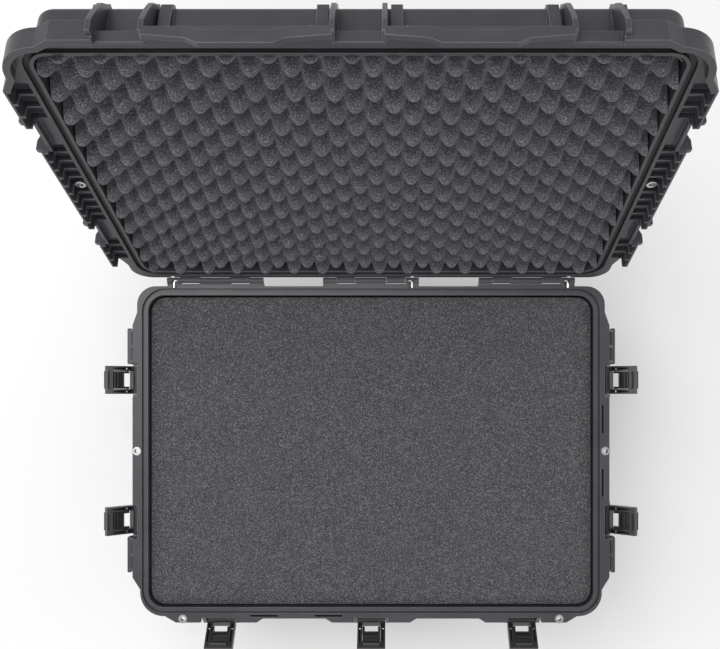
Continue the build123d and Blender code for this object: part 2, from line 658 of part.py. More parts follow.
with BuildPart() as lid_shell:
    # dome
    with BuildSketch(level(LID, PARTING_GAP)):
        mouth_outline(LID_DOME)
    extrude(amount=LID_HEIGHT - PARTING_GAP, taper=DRAFT)
    fillet(lid_shell.faces().filter_by(lambda f: f.normal_at().dot(LID_UP) > FACING).edges(), LID_EDGE_ROUND)
    # ribs on the panel
    with BuildSketch(level(LID, LID_PANEL_UNDERSIDE + LID_PANEL / 2)):
        for grow in (-SKID_INSET / 2, -SKID_INSET * 2):
            mouth_outline(grow)
            mouth_outline(grow - RIB_DEPTH, mode=Mode.SUBTRACT)
    extrude(amount=LID_PANEL / 2 + LID_RIB_HEIGHT)
    # flange and skirt
    with BuildSketch(level(LID, PARTING_GAP)):
        add(FLANGE_OUTLINE)
        for x, y in EYELETS:
            with Locations((x, y)):
                Circle(EYELET_BOSS_RADIUS)
    extrude(amount=LID_FLANGE_TOP - PARTING_GAP)
    with BuildSketch(level(LID, PARTING_GAP)):
        lid_skirt(SKIRT_REACH)
    extrude(amount=LID_FLANGE_TOP - PARTING_GAP)
    with BuildSketch(level(LID, PARTING_GAP)):
        lid_skirt(SKIRT_REACH)
        offset(FLANGE_OUTLINE, amount=SKIRT_GAP, kind=Kind.INTERSECTION, mode=Mode.SUBTRACT)
    extrude(amount=-SKIRT_DROP - PARTING_GAP)
    # hollow and seal channel
    with BuildSketch(level(LID, PARTING_GAP)):
        mouth_outline(LID_INNER_SHIFT)
    extrude(amount=LID_PANEL_UNDERSIDE - PARTING_GAP, taper=DRAFT, mode=Mode.SUBTRACT)
    with BuildSketch(level(LID, PARTING_GAP)):
        mouth_outline(TONGUE_WIDTH + CHANNEL_CLEARANCE)
        mouth_outline(-CHANNEL_CLEARANCE, mode=Mode.SUBTRACT)
    extrude(amount=CHANNEL_DEPTH, mode=Mode.SUBTRACT)
    # catches
    for outward, along in LATCHES.values():
        edge = edge_frame(LID, outward, along)
        shelf = LID_FLANGE_TOP - CATCH_LIP_TOP
        with BuildSketch(level(edge, CATCH_LIP_TOP)):
            with Locations((0, SKIRT_REACH - CATCH_BACK / 2)):
                Rectangle(2 * CATCH_HALF, CATCH_BACK + 2 * SKIRT_REACH)
        extrude(amount=shelf, mode=Mode.SUBTRACT)
        with BuildSketch(section(edge, 0)):
            with BuildLine():
                Polyline(
                    (-CATCH_BACK, PARTING_GAP),
                    (CATCH_LIP_REACH - CATCH_LIP_THICKNESS, PARTING_GAP),
                    (CATCH_LIP_REACH - CATCH_LIP_THICKNESS, -CATCH_LIP_DROP),
                    (CATCH_LIP_REACH, -CATCH_LIP_DROP),
                    (CATCH_LIP_REACH, CATCH_LIP_TOP),
                    (-CATCH_BACK, CATCH_LIP_TOP),
                    close=True,
                )
            make_face()
        extrude(amount=CATCH_HALF + TOWER_THICKNESS / 2, both=True)
        # a tower each side, from the dome over the flange
        dome_edge = (LID_DOME - FLANGE_FRONT) if outward == FRONT else (LID_DOME - FLANGE_SIDE)
        for side in (-1, 1):
            with BuildSketch(section(edge, side * TOWER_HALF)):
                with BuildLine():
                    Polyline(
                        (dome_edge - LID_WALL / 2, LID_FLANGE_TOP - 1),
                        (dome_edge - LID_WALL / 2, LID_HEIGHT - LID_PANEL / 2),
                        (dome_edge - TOWER_REACH, LID_HEIGHT - LID_PANEL / 2),
                        (dome_edge - TOWER_REACH, LID_HEIGHT + LID_RIB_HEIGHT),
                        (dome_edge - LID_WALL / 2, LID_HEIGHT + LID_RIB_HEIGHT),
                        (dome_edge + LID_WALL, LID_HEIGHT - LID_PANEL),
                        (-CATCH_BACK, LID_HEIGHT - 2 * LID_EDGE_ROUND),
                    )
                    ThreePointArc(
                        (-CATCH_BACK, LID_HEIGHT - 2 * LID_EDGE_ROUND),
                        (TOWER_REACH * TOWER_SHOULDER, LID_FLANGE_TOP + LID_EDGE_ROUND),
                        (TOWER_REACH, LID_FLANGE_TOP / 2),
                    )
                    Polyline(
                        (TOWER_REACH, LID_FLANGE_TOP / 2),
                        (TOWER_REACH, -TOWER_DROP + SKIRT_GAP),
                        (TOWER_REACH - 2 * SKIRT_GAP, -TOWER_DROP),
                        (SKIRT_GAP, -TOWER_DROP),
                        (SKIRT_GAP, LID_FLANGE_TOP / 2),
                        (-CATCH_BACK, LID_FLANGE_TOP - 1),
                        (dome_edge - LID_WALL / 2, LID_FLANGE_TOP - 1),
                    )
                make_face()
            extrude(amount=TOWER_THICKNESS / 2, both=True)
    # gusset pockets in the skirt's underside
    gusset_runs = [
        (-(FRONT_EDGE - SIDE_STEP_NEAR), -(LATCH_OFFSET + CATCH_HALF)),
        (-(LATCH_OFFSET - CATCH_HALF), LATCH_OFFSET - CATCH_HALF),
        (LATCH_OFFSET + CATCH_HALF, BACK_EDGE - REAR_STEP_NEAR),
    ]
    for outward in (RIGHT, LEFT):
        for low, high in gusset_runs:
            bays = max(1, round((high - low) / GUSSET_PITCH))
            bay = (high - low) / bays
            for index in range(bays):
                edge = edge_frame(LID, outward, low + bay * (index + 0.5))
                pocket_depth = SKIRT_REACH - SKIRT_GAP - SKIRT_SKIN
                with BuildSketch(section(edge, 0)):
                    with BuildLine():
                        Polyline(
                            (SKIRT_GAP - 1, -SKIRT_DROP - 1),
                            (SKIRT_GAP + pocket_depth, -SKIRT_DROP - 1),
                            (SKIRT_GAP + pocket_depth, LID_FLANGE_TOP - LID_WALL),
                            (SKIRT_GAP, PARTING_GAP),
                            (SKIRT_GAP - 1, PARTING_GAP),
                            close=True,
                        )
                    make_face()
                extrude(amount=(bay - GUSSET_THICKNESS) / 2, both=True, mode=Mode.SUBTRACT)
    # pockets in the flange's underside, between the seal channel and the skirt, round the eyelets
    pocket_out = SKIRT_REACH - SKIRT_SKIN
    with BuildSketch(level(LID, PARTING_GAP)):
        for low, high in gusset_runs:
            bays = max(1, round((high - low) / GUSSET_PITCH))
            bay = (high - low) / bays
            for index in range(bays):
                for side in (-1, 1):
                    across = side * (SIDE_EDGE + (pocket_out - FLANGE_POCKET_IN) / 2)
                    with Locations((across, low + bay * (index + 0.5))):
                        Rectangle(FLANGE_POCKET_IN + pocket_out, bay - GUSSET_THICKNESS)
        for x, y in EYELETS:
            with Locations((x, y)):
                Circle(EYELET_BOSS_RADIUS, mode=Mode.SUBTRACT)
    extrude(amount=FLANGE_POCKET_DEPTH, mode=Mode.SUBTRACT)
    # guard bars across the front, between the catches
    for side in (-1, 1):
        near = TOWER_HALF
        far = LATCH_PITCH - TOWER_HALF
        dip = BAR_DIP_INSET
        rise = LATCH_PITCH - BAR_DIP_INSET
        with BuildSketch(elevation(LID, -(FRONT_EDGE + BAR_NEAR))):
            with BuildLine():
                Polyline(
                    (side * near, BAR_TOP),
                    (side * dip, BAR_TOP),
                    (side * (dip + BAR_RAMP), BAR_DIP_TOP),
                    (side * (rise - BAR_RAMP), BAR_DIP_TOP),
                    (side * rise, BAR_TOP),
                    (side * far, BAR_TOP),
                    (side * far, BAR_BOTTOM + 3 * SKIRT_GAP),
                    (side * rise, BAR_BOTTOM),
                    (side * (rise - BAR_RAMP), BAR_DIP_BOTTOM),
                    (side * (dip + BAR_RAMP), BAR_DIP_BOTTOM),
                    (side * dip, BAR_BOTTOM),
                    (side * near, BAR_BOTTOM + 3 * SKIRT_GAP),
                    close=True,
                )
            make_face()
        extrude(amount=BAR_THICKNESS)
        for place in (BAR_WEB_INSET, LATCH_PITCH - BAR_WEB_INSET):
            with BuildSketch(section(LID, side * place)):
                with BuildLine():
                    Polyline(
                        (-FRONT_EDGE + CATCH_BACK, LID_FLANGE_TOP / 2),
                        (-FRONT_EDGE - SKIRT_GAP, PARTING_GAP),
                        (-FRONT_EDGE - SKIRT_GAP, BAR_TOP * 2),
                        (-FRONT_EDGE - BAR_NEAR - 1, BAR_BOTTOM + 3 * SKIRT_GAP),
                        (-FRONT_EDGE - BAR_NEAR - BAR_THICKNESS / 2, BAR_TOP),
                        (-FRONT_EDGE - SKIRT_GAP, LID_FLANGE_TOP),
                        (-FRONT_EDGE + CATCH_BACK, LID_FLANGE_TOP),
                        close=True,
                    )
                make_face()
            extrude(amount=GUSSET_THICKNESS / 2, both=True)
    # bulges up the front wall, outside the towers
    bulges = [TOWER_HALF + BULGE_WIDTH]
    bulges += [LATCH_PITCH - TOWER_HALF - BULGE_WIDTH, LATCH_PITCH + TOWER_HALF + BULGE_WIDTH / 2]
    for side in (-1, 1):
        for place in bulges:
            with BuildSketch(section(LID, side * place)):
                front = -(HALF_WIDTH + LID_DOME)
                with BuildLine():
                    Polyline(
                        (front + LID_WALL / 2, LID_FLANGE_TOP - 1),
                        (front + LID_WALL / 2, LID_HEIGHT - LID_PANEL / 2),
                        (front + BULGE_WIDTH, LID_HEIGHT - LID_PANEL / 2),
                        (front + BULGE_WIDTH, LID_HEIGHT + LID_RIB_HEIGHT / 2),
                        (front + LID_WALL / 2, LID_HEIGHT + LID_RIB_HEIGHT / 2),
                        (front - LID_WALL, LID_HEIGHT - LID_PANEL),
                        (front - 2 * LID_WALL, LID_HEIGHT - 3 * LID_EDGE_ROUND),
                        (front - 3 * LID_WALL, LID_FLANGE_TOP - 1),
                        close=True,
                    )
                make_face()
            extrude(amount=BULGE_WIDTH / 2, both=True)
    # eyelet holes
    for x, y in EYELETS:
        with BuildSketch(level(LID, PARTING_GAP)):
            with Locations((x, y)):
                Circle(EYELET_BODY_RADIUS + EYELET_CLEARANCE)
        extrude(amount=LID_FLANGE_TOP, mode=Mode.SUBTRACT)
        for seat in (PARTING_GAP, LID_FLANGE_TOP - EYELET_HEAD):
            with BuildSketch(level(LID, seat)):
                with Locations((x, y)):
                    Circle(EYELET_HEAD_RADIUS + EYELET_CLEARANCE)
            extrude(amount=EYELET_HEAD, mode=Mode.SUBTRACT)
    # hinge arms and knuckles
    for middle, bent_end in HINGES.values():
        start = middle - HINGE_LENGTH / 2
        first = start + END_KNUCKLE + KNUCKLE_GAP
        second = start + HINGE_LENGTH - END_KNUCKLE - KNUCKLE_GAP - LID_KNUCKLE
        for place in (first, second):
            with BuildSketch(section(LID, place)):
                with BuildLine():
                    Polyline(
                        (BACK_EDGE - 1, PARTING_GAP),
                        (BACK_EDGE - 1, LID_FLANGE_TOP - 1),
                        (BACK_EDGE + 1, LID_FLANGE_TOP - 1),
                        (HINGE_Y, KNUCKLE_RADIUS),
                        (HINGE_Y, PARTING_GAP),
                        close=True,
                    )
                make_face()
                with Locations((HINGE_Y, 0)):
                    Circle(KNUCKLE_RADIUS)
                    Circle(HINGE_PIN_RADIUS + RUNNING_CLEARANCE, mode=Mode.SUBTRACT)
            extrude(amount=LID_KNUCKLE)
        leg = middle + bent_end * (HINGE_LENGTH / 2 - PIN_LEG_INSET)
        relief = HINGE_PIN_RADIUS + PIN_LEG_CLEARANCE
        with BuildSketch(level(LID, 0)):
            with Locations((leg, HINGE_Y - PIN_LEG_REACH - PIN_LEG_CLEARANCE + HINGE_SETBACK / 2)):
                Rectangle(2 * relief, HINGE_SETBACK)
        extrude(amount=relief, mode=Mode.SUBTRACT)
finish(lid_shell, "lid_shell")

with BuildPart() as lid_seal:
    with BuildSketch(level(LID, PARTING_GAP + CHANNEL_DEPTH)):
        mouth_outline(TONGUE_WIDTH + CHANNEL_CLEARANCE - SEAL_CLEARANCE)
        mouth_outline(-CHANNEL_CLEARANCE + SEAL_CLEARANCE, mode=Mode.SUBTRACT)
    extrude(amount=-(PARTING_GAP + CHANNEL_DEPTH - TONGUE_HEIGHT - SEAL_GAP))
finish(lid_seal, "lid_seal")

# ---- Foam ---------------------------------------------------------------------------------------------

foam_top = BASE_HEIGHT - FOAM_BELOW_RIM
layer = (foam_top - FLOOR_TOP - FOAM_PAD) / FOAM_LAYERS
foam_stack = [("base_foam_pad", FLOOR_TOP + FOAM_PAD, FOAM_PAD)]
for index in range(FOAM_LAYERS):
    top = FLOOR_TOP + FOAM_PAD + layer * (index + 1)
    foam_stack.append((f"base_foam_layer_{index + 1}", top, layer))
for name, top, thickness in foam_stack:
    with BuildPart() as base_foam:
        with BuildSketch(Plane.XY.offset(top)):
            mouth_outline(-FOAM_GAP - wall_in(top))
        extrude(amount=-thickness, taper=DRAFT)
    finish(base_foam, name)

with BuildPart() as lid_foam:
    with BuildSketch(level(LID, -LID_FOAM_DROP)):
        mouth_outline(LID_INNER_SHIFT - FOAM_GAP)
    extrude(amount=LID_PANEL_UNDERSIDE + LID_FOAM_DROP, taper=DRAFT)
finish(lid_foam, "lid_foam")

# ---- Eyelets --------------------------------------------------------------------------------------------

for name, frame, low, high in (
    ("base_eyelets", BASE, -FLANGE_THICKNESS, 0.0),
    ("lid_eyelets", LID, PARTING_GAP, LID_FLANGE_TOP),
):
    with BuildPart() as eyelets:
        for x, y in EYELETS:
            with BuildSketch(level(frame, low)):
                with Locations((x, y)):
                    Circle(EYELET_BODY_RADIUS)
            extrude(amount=high - low)
            for seat in (low, high - EYELET_HEAD):
                with BuildSketch(level(frame, seat)):
                    with Locations((x, y)):
                        Circle(EYELET_HEAD_RADIUS)
                extrude(amount=EYELET_HEAD)
            with BuildSketch(level(frame, low)):
                with Locations((x, y)):
                    Circle(EYELET_BORE_RADIUS)
            extrude(amount=high - low, mode=Mode.SUBTRACT)
    finish(eyelets, name)

# ---- Hinge pins -----------------------------------------------------------------------------------------

for name, (middle, bent_end) in HINGES.items():
    plain_end = middle - bent_end * (HINGE_LENGTH / 2 - 1)
    leg = middle + bent_end * (HINGE_LENGTH / 2 - PIN_LEG_INSET)
    with BuildPart() as hinge_pin:
        with BuildLine(BASE) as pin_path:
            FilletPolyline(
                (plain_end, HINGE_Y),
                (leg, HINGE_Y),
                (leg, HINGE_Y - PIN_LEG_REACH),
                radius=PIN_BEND_RADIUS,
            )
        with BuildSketch(Plane(origin=pin_path.line @ 0, z_dir=pin_path.line % 0)):
            Circle(HINGE_PIN_RADIUS)
        sweep(path=pin_path.line)
    finish(hinge_pin, name)

# ---- Latches --------------------------------------------------------------------------------------------

for name, (outward, along) in LATCHES.items():
    frame = latch_frame(outward, along)
    cheek_middle = LATCH_WIDTH / 2 - CHEEK / 2
    with BuildPart() as latch:
        with BuildSketch(section(frame, 0)) as body:
            with BuildLine():
                Polyline(
                    (-LATCH_INNER, 0),
                    (-LATCH_INNER, LATCH_LENGTH),
                    (LATCH_OUTER, LATCH_LENGTH),
                    (LATCH_OUTER, BARREL_RADIUS),
                    (BARREL_RADIUS, 0),
                    close=True,
                )
            make_face()
            tip = body.vertices().filter_by(lambda v: v.Y > LATCH_LENGTH - NEAR)
            fillet(tip.sort_by(Axis.X)[-1], LATCH_OUTER - TRIGGER_PLATE)
            with Locations((0, 0)):
                Circle(BARREL_RADIUS)
        extrude(amount=LATCH_WIDTH / 2, both=True)
        # hook that lands on the catch
        with BuildSketch(section(frame, 0)) as hook:
            with Locations((-LATCH_INNER - HOOK_REACH / 2 + 1, HOOK_UNDERSIDE + HOOK_THICKNESS / 2)):
                RectangleRounded(HOOK_REACH + 2, HOOK_THICKNESS, HOOK_THICKNESS * HOOK_ROUND)
        extrude(amount=HOOK_WIDTH / 2, both=True)
        # opening for the trigger, and the seat for its tab
        with BuildSketch(elevation(frame, -2 * LATCH_OUTER)):
            with Locations((0, (BARREL_RADIUS + 1 + TIP_START) / 2)):
                Rectangle(2 * CENTRE_HALF, TIP_START - BARREL_RADIUS - 1)
        extrude(amount=-4 * LATCH_OUTER, mode=Mode.SUBTRACT)
        with BuildSketch(elevation(frame, TRIGGER_PLATE - TRIGGER_CLEARANCE)):
            with Locations((0, TIP_START + LATCH_LENGTH / 2)):
                Rectangle(2 * CENTRE_HALF, LATCH_LENGTH + 2)
        extrude(amount=-2 * LATCH_OUTER, mode=Mode.SUBTRACT)
        # each cheek is a channel, open to the case
        for side in (-1, 1):
            with BuildSketch(elevation(frame, -LATCH_INNER - 1)):
                with Locations((side * cheek_middle, (BARREL_RADIUS + 2 + TIP_START) / 2)):
                    Rectangle(CHEEK - 2 * CHEEK_SKIN, TIP_START - BARREL_RADIUS - 2)
            extrude(amount=-CHEEK_POCKET_DEPTH - 1, mode=Mode.SUBTRACT)
        with BuildSketch(section(frame, 0)):
            Circle(PIVOT_PIN_RADIUS + RUNNING_CLEARANCE)
            with Locations((TRIGGER_OUT, TRIGGER_ALONG)):
                Circle(TRIGGER_PIN_RADIUS + PRESS_CLEARANCE)
        extrude(amount=LATCH_WIDTH, both=True, mode=Mode.SUBTRACT)
    finish(latch, f"{name}_frame")

    half = CENTRE_HALF - TRIGGER_CLEARANCE
    with BuildPart() as trigger:
        with BuildSketch(section(frame, 0)) as plate:
            with BuildLine():
                Polyline(
                    (TRIGGER_PLATE, TRIGGER_START),
                    (TRIGGER_PLATE, LATCH_LENGTH - 1),
                    (LATCH_OUTER - 1, LATCH_LENGTH),
                    (LATCH_OUTER + 1, LATCH_LENGTH - 1),
                    (LATCH_OUTER, LATCH_LENGTH - HOOK_REACH),
                    (LATCH_OUTER, TRIGGER_START),
                    close=True,
                )
            make_face()
        extrude(amount=half, both=True)
        # nib that holds under the catch, and cross ribs
        with BuildSketch(section(frame, 0)):
            with BuildLine():
                Polyline(
                    (-NIB_REACH, NIB_TOP),
                    (TRIGGER_PLATE + 1, NIB_TOP),
                    (TRIGGER_PLATE + 1, TRIGGER_START),
                    (TRIGGER_OUT, TRIGGER_START),
                    (-NIB_REACH, NIB_TOP - NIB_THICKNESS / 2),
                    close=True,
                )
            make_face()
        extrude(amount=half - TRIGGER_EAR, both=True)
        with BuildSketch(section(frame, 0)):
            for place in (NIB_TOP + NIB_REACH + FINGER_RIB_INSET, TIP_START - 2 * WINDOW_MARGIN - 1):
                with Locations((TRIGGER_PLATE - FINGER_RIB_INSET, place)):
                    Rectangle(FINGER_RIB_DEPTH, FINGER_RIB_THICKNESS)
        extrude(amount=half - 1, both=True)
        # ears on the trigger pins
        for side in (-1, 1):
            with BuildSketch(section(frame, side * (half - TRIGGER_EAR / 2))):
                with BuildLine():
                    Polyline(
                        (TRIGGER_OUT - TRIGGER_EAR_RADIUS, TRIGGER_ALONG),
                        (TRIGGER_OUT - TRIGGER_EAR_RADIUS, NIB_TOP),
                        (LATCH_OUTER, NIB_TOP),
                        (LATCH_OUTER, TRIGGER_START),
                        (TRIGGER_OUT + TRIGGER_EAR_RADIUS, TRIGGER_ALONG),
                        close=True,
                    )
                make_face()
                with Locations((TRIGGER_OUT, TRIGGER_ALONG)):
                    Circle(TRIGGER_EAR_RADIUS)
                    Circle(TRIGGER_PIN_RADIUS + RUNNING_CLEARANCE, mode=Mode.SUBTRACT)
            extrude(amount=TRIGGER_EAR / 2, both=True)
    finish(trigger, f"{name}_trigger")

    with BuildPart() as trigger_pins:
        for side in (-1, 1):
            start = CENTRE_HALF - TRIGGER_CLEARANCE - TRIGGER_EAR
            length = LATCH_WIDTH / 2 - start - PIN_END_INSET
            with BuildSketch(section(frame, side * (start + length / 2))):
                with Locations((TRIGGER_OUT, TRIGGER_ALONG)):
                    Circle(TRIGGER_PIN_RADIUS)
            extrude(amount=length / 2, both=True)
    finish(trigger_pins, f"{name}_trigger_pins")

    spring_length = SPRING_TURNS * SPRING_WIRE
    with BuildPart() as spring:
        with BuildSketch(section(frame, cheek_middle - spring_length / 2)):
            with Locations((TRIGGER_OUT, TRIGGER_ALONG)):
                Circle(TRIGGER_PIN_RADIUS + SPRING_WIRE + RUNNING_CLEARANCE)
                Circle(TRIGGER_PIN_RADIUS + RUNNING_CLEARANCE, mode=Mode.SUBTRACT)
        extrude(amount=spring_length)
    finish(spring, f"{name}_spring")

with BuildPart() as pivot_pins:
    for outward, along in LATCHES.values():
        with BuildSketch(section(latch_frame(outward, along), 0)):
            Circle(PIVOT_PIN_RADIUS)
        extrude(amount=LUG_INNER + LUG_THICKNESS, both=True)
finish(pivot_pins, "latch_pivot_pins")

# ---- Handles --------------------------------------------------------------------------------------------

for name, (outward, along, half_span) in HANDLES.items():
    edge = edge_frame(BASE, outward, along)
    arm = half_span - HANDLE_ARM_THICKNESS / 2
    bottom = -HANDLE_PIVOT_DROP - HANDLE_ARM_LENGTH
    with BuildPart() as handle:
        for side in (-1, 1):
            with BuildSketch(section(edge, side * arm)):
                with Locations((-HANDLE_PIVOT_IN, (-HANDLE_PIVOT_DROP + bottom) / 2)):
                    SlotCenterToCenter(HANDLE_ARM_LENGTH, HANDLE_ARM_DEPTH, rotation=90)
                with Locations((-HANDLE_PIVOT_IN, -HANDLE_PIVOT_DROP)):
                    Circle(HANDLE_PIN_RADIUS + RUNNING_CLEARANCE, mode=Mode.SUBTRACT)
            extrude(amount=HANDLE_ARM_THICKNESS / 2, both=True)
        with BuildSketch(section(edge, 0)):
            with Locations((-HANDLE_PIVOT_IN, bottom)):
                Circle(GRIP_CORE_RADIUS)
        extrude(amount=arm, both=True)
    finish(handle, f"{name}_bail")

    with BuildPart() as grip:
        with BuildSketch(section(edge, 0)):
            with Locations((-HANDLE_PIVOT_IN, bottom)):
                Circle(GRIP_RADIUS)
                Circle(GRIP_CORE_RADIUS, mode=Mode.SUBTRACT)
        extrude(amount=arm - HANDLE_ARM_THICKNESS / 2 - GRIP_END_GAP, both=True)
        rims = grip.edges().filter_by(GeomType.CIRCLE)
        fillet(rims.filter_by(lambda e: e.radius > GRIP_CORE_RADIUS + 1), 2)
    finish(grip, f"{name}_grip")

    with BuildPart() as handle_pins:
        for side in (-1, 1):
            reach = HANDLE_ARM_THICKNESS / 2 + HANDLE_LUG_GAP + HANDLE_LUG_THICKNESS
            with BuildSketch(section(edge, side * arm)):
                with Locations((-HANDLE_PIVOT_IN, -HANDLE_PIVOT_DROP)):
                    Circle(HANDLE_PIN_RADIUS)
            extrude(amount=reach, both=True)
    finish(handle_pins, f"{name}_pins")

# ---- Pressure valve --------------------------------------------------------------------------------------

with BuildPart() as valve_body:
    with BuildSketch(elevation(BASE, valve_face)):
        with Locations((valve_x, -VALVE_DROP)):
            Circle(VALVE_FLANGE_RADIUS)
    extrude(amount=VALVE_FLANGE)
    with BuildSketch(elevation(BASE, valve_face)):
        with Locations((valve_x, -VALVE_DROP)):
            Circle(VALVE_STEM_RADIUS)
    extrude(amount=-(WALL + VALVE_BOSS_REACH))
    with BuildSketch(elevation(BASE, valve_face)):
        with Locations((valve_x, -VALVE_DROP)):
            Circle(VALVE_SEAL_OUTER)
            Circle(VALVE_SEAL_INNER, mode=Mode.SUBTRACT)
    extrude(amount=VALVE_SEAL_HEIGHT, mode=Mode.SUBTRACT)
    with BuildSketch(elevation(BASE, valve_face - VALVE_FLANGE)):
        with Locations((valve_x, -VALVE_DROP)):
            Circle(VALVE_CAP_RADIUS)
    extrude(amount=-(VALVE_CAP + VALVE_MEMBRANE), mode=Mode.SUBTRACT)
    with BuildSketch(elevation(BASE, valve_face - VALVE_FLANGE)):
        with Locations((valve_x, -VALVE_DROP)):
            Circle(VALVE_BORE_RADIUS)
    extrude(amount=-2 * (VALVE_FLANGE + WALL + VALVE_BOSS_REACH), mode=Mode.SUBTRACT)
finish(valve_body, "valve_body")

with BuildPart() as valve_seal:
    with BuildSketch(elevation(BASE, valve_face)):
        with Locations((valve_x, -VALVE_DROP)):
            Circle(VALVE_SEAL_OUTER)
            Circle(VALVE_SEAL_INNER, mode=Mode.SUBTRACT)
    extrude(amount=VALVE_SEAL_HEIGHT)
finish(valve_seal, "valve_seal")

membrane_face = valve_face - VALVE_FLANGE + VALVE_CAP
with BuildPart() as valve_membrane:
    with BuildSketch(elevation(BASE, membrane_face)):
        with Locations((valve_x, -VALVE_DROP)):
            Circle(VALVE_CAP_RADIUS - EYELET_CLEARANCE)
    extrude(amount=-VALVE_MEMBRANE)
finish(valve_membrane, "valve_membrane")

with BuildPart() as valve_cap:
    with BuildSketch(elevation(BASE, membrane_face)):
        with Locations((valve_x, -VALVE_DROP)):
            Circle(VALVE_CAP_RADIUS - EYELET_CLEARANCE)
            with PolarLocations(VALVE_CAP_RADIUS * VALVE_VENT_CIRCLE, VALVE_VENTS):
                Circle(VALVE_MEMBRANE, mode=Mode.SUBTRACT)
    extrude(amount=VALVE_CAP)
finish(valve_cap, "valve_cap")
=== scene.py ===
import json
import logging
import math
from dataclasses import dataclass
from enum import Enum
from typing import Callable

import bmesh
import bpy
from mathutils import Matrix, Vector, noise


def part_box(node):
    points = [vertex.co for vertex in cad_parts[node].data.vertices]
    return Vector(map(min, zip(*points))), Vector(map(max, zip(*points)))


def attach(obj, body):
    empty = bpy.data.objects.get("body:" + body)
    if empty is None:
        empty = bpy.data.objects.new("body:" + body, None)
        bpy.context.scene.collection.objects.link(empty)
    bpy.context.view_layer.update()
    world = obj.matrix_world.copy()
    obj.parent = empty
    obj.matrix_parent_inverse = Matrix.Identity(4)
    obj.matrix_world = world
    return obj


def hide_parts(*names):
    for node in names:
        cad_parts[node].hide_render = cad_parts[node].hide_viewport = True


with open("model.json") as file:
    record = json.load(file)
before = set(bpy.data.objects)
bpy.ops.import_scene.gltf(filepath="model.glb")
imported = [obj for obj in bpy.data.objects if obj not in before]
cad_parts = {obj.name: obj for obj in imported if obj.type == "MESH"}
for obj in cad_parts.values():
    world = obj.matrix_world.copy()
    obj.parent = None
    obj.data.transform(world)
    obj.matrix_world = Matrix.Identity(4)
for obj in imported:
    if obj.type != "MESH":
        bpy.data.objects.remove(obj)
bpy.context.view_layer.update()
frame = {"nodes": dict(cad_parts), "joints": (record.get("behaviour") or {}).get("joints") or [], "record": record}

# A hard equipment case standing open. Its moulded shell and fittings keep their CAD shapes
# and get their finishes here, and the foam in the lid and the base is modelled as foam.
# Lengths are in metres, with +Z up.

log = logging.getLogger("equipment_case")

Colour = tuple[float, float, float]
Point = tuple[float, float, float]
MM = 0.001

# the colour sockets of the Mix node, which share their names with its number sockets
MIX_SHARE, MIX_FIRST, MIX_SECOND, MIX_RESULT = 0, 6, 7, 2


@dataclass(frozen=True)
class Span:
    """The two ends of a range of values."""

    low: float
    high: float


WHOLE = Span(0.0, 1.0)

# Moulded skin: where the mottle turns from one tone to the other, and where it dulls the skin.
SKIN_TONES = Span(0.3, 0.7)
SKIN_DULLING = Span(0.25, 0.75)
# A painted highlight shows on an edge where the rounded normal leans away from the flat one, by the cosine between
# them.
EDGE_LEAN = Span(0.985, 0.86)
EDGE_BREAKUP = Span(0.25, 0.75)
EDGE_STRENGTH = Span(0.55, 1.0)
# Foam: distances across a cell that make a pit, and the tufts that catch the light as specks.
FOAM_PIT = Span(0.1, 0.75)
FOAM_SPECK = Span(0.48, 0.68)
FOAM_TUFT_SCALE = 0.9
FOAM_CLOUD_SCALE = 0.05
FOAM_TONES = Span(0.3, 0.7)
FOAM_HEIGHTS = Span(0.3, 1.4)
FOAM_ROUGHNESS = Span(0.98, 0.86)
FOAM_SHEEN_ROUGHNESS = 0.6
FOAM_SPECULAR = 0.15
# Steel: where dull patches replace the bright metal, and how much rougher they are.
STEEL_PATCHES = Span(0.35, 0.7)
STEEL_DULLING = Span(0.3, 0.75)
STEEL_ROUGHER = 0.18
STEEL_LINE_STRETCH = (0.05, 1.0, 1.0)


class Slot(Enum):
    """The finishes of the case, by the record's material slots."""

    CASE = "case_resin"
    LATCH = "latch_resin"
    HANDLE = "handle_resin"
    VALVE = "valve_resin"
    GRIP = "grip_rubber"
    SEAL = "seal_rubber"
    STEEL = "stainless"
    SPRING = "spring_steel"
    BASE_FOAM = "base_foam"
    LID_FOAM = "lid_foam"
    MEMBRANE = "membrane"


# ---- Node helpers ----------------------------------------------------------------------


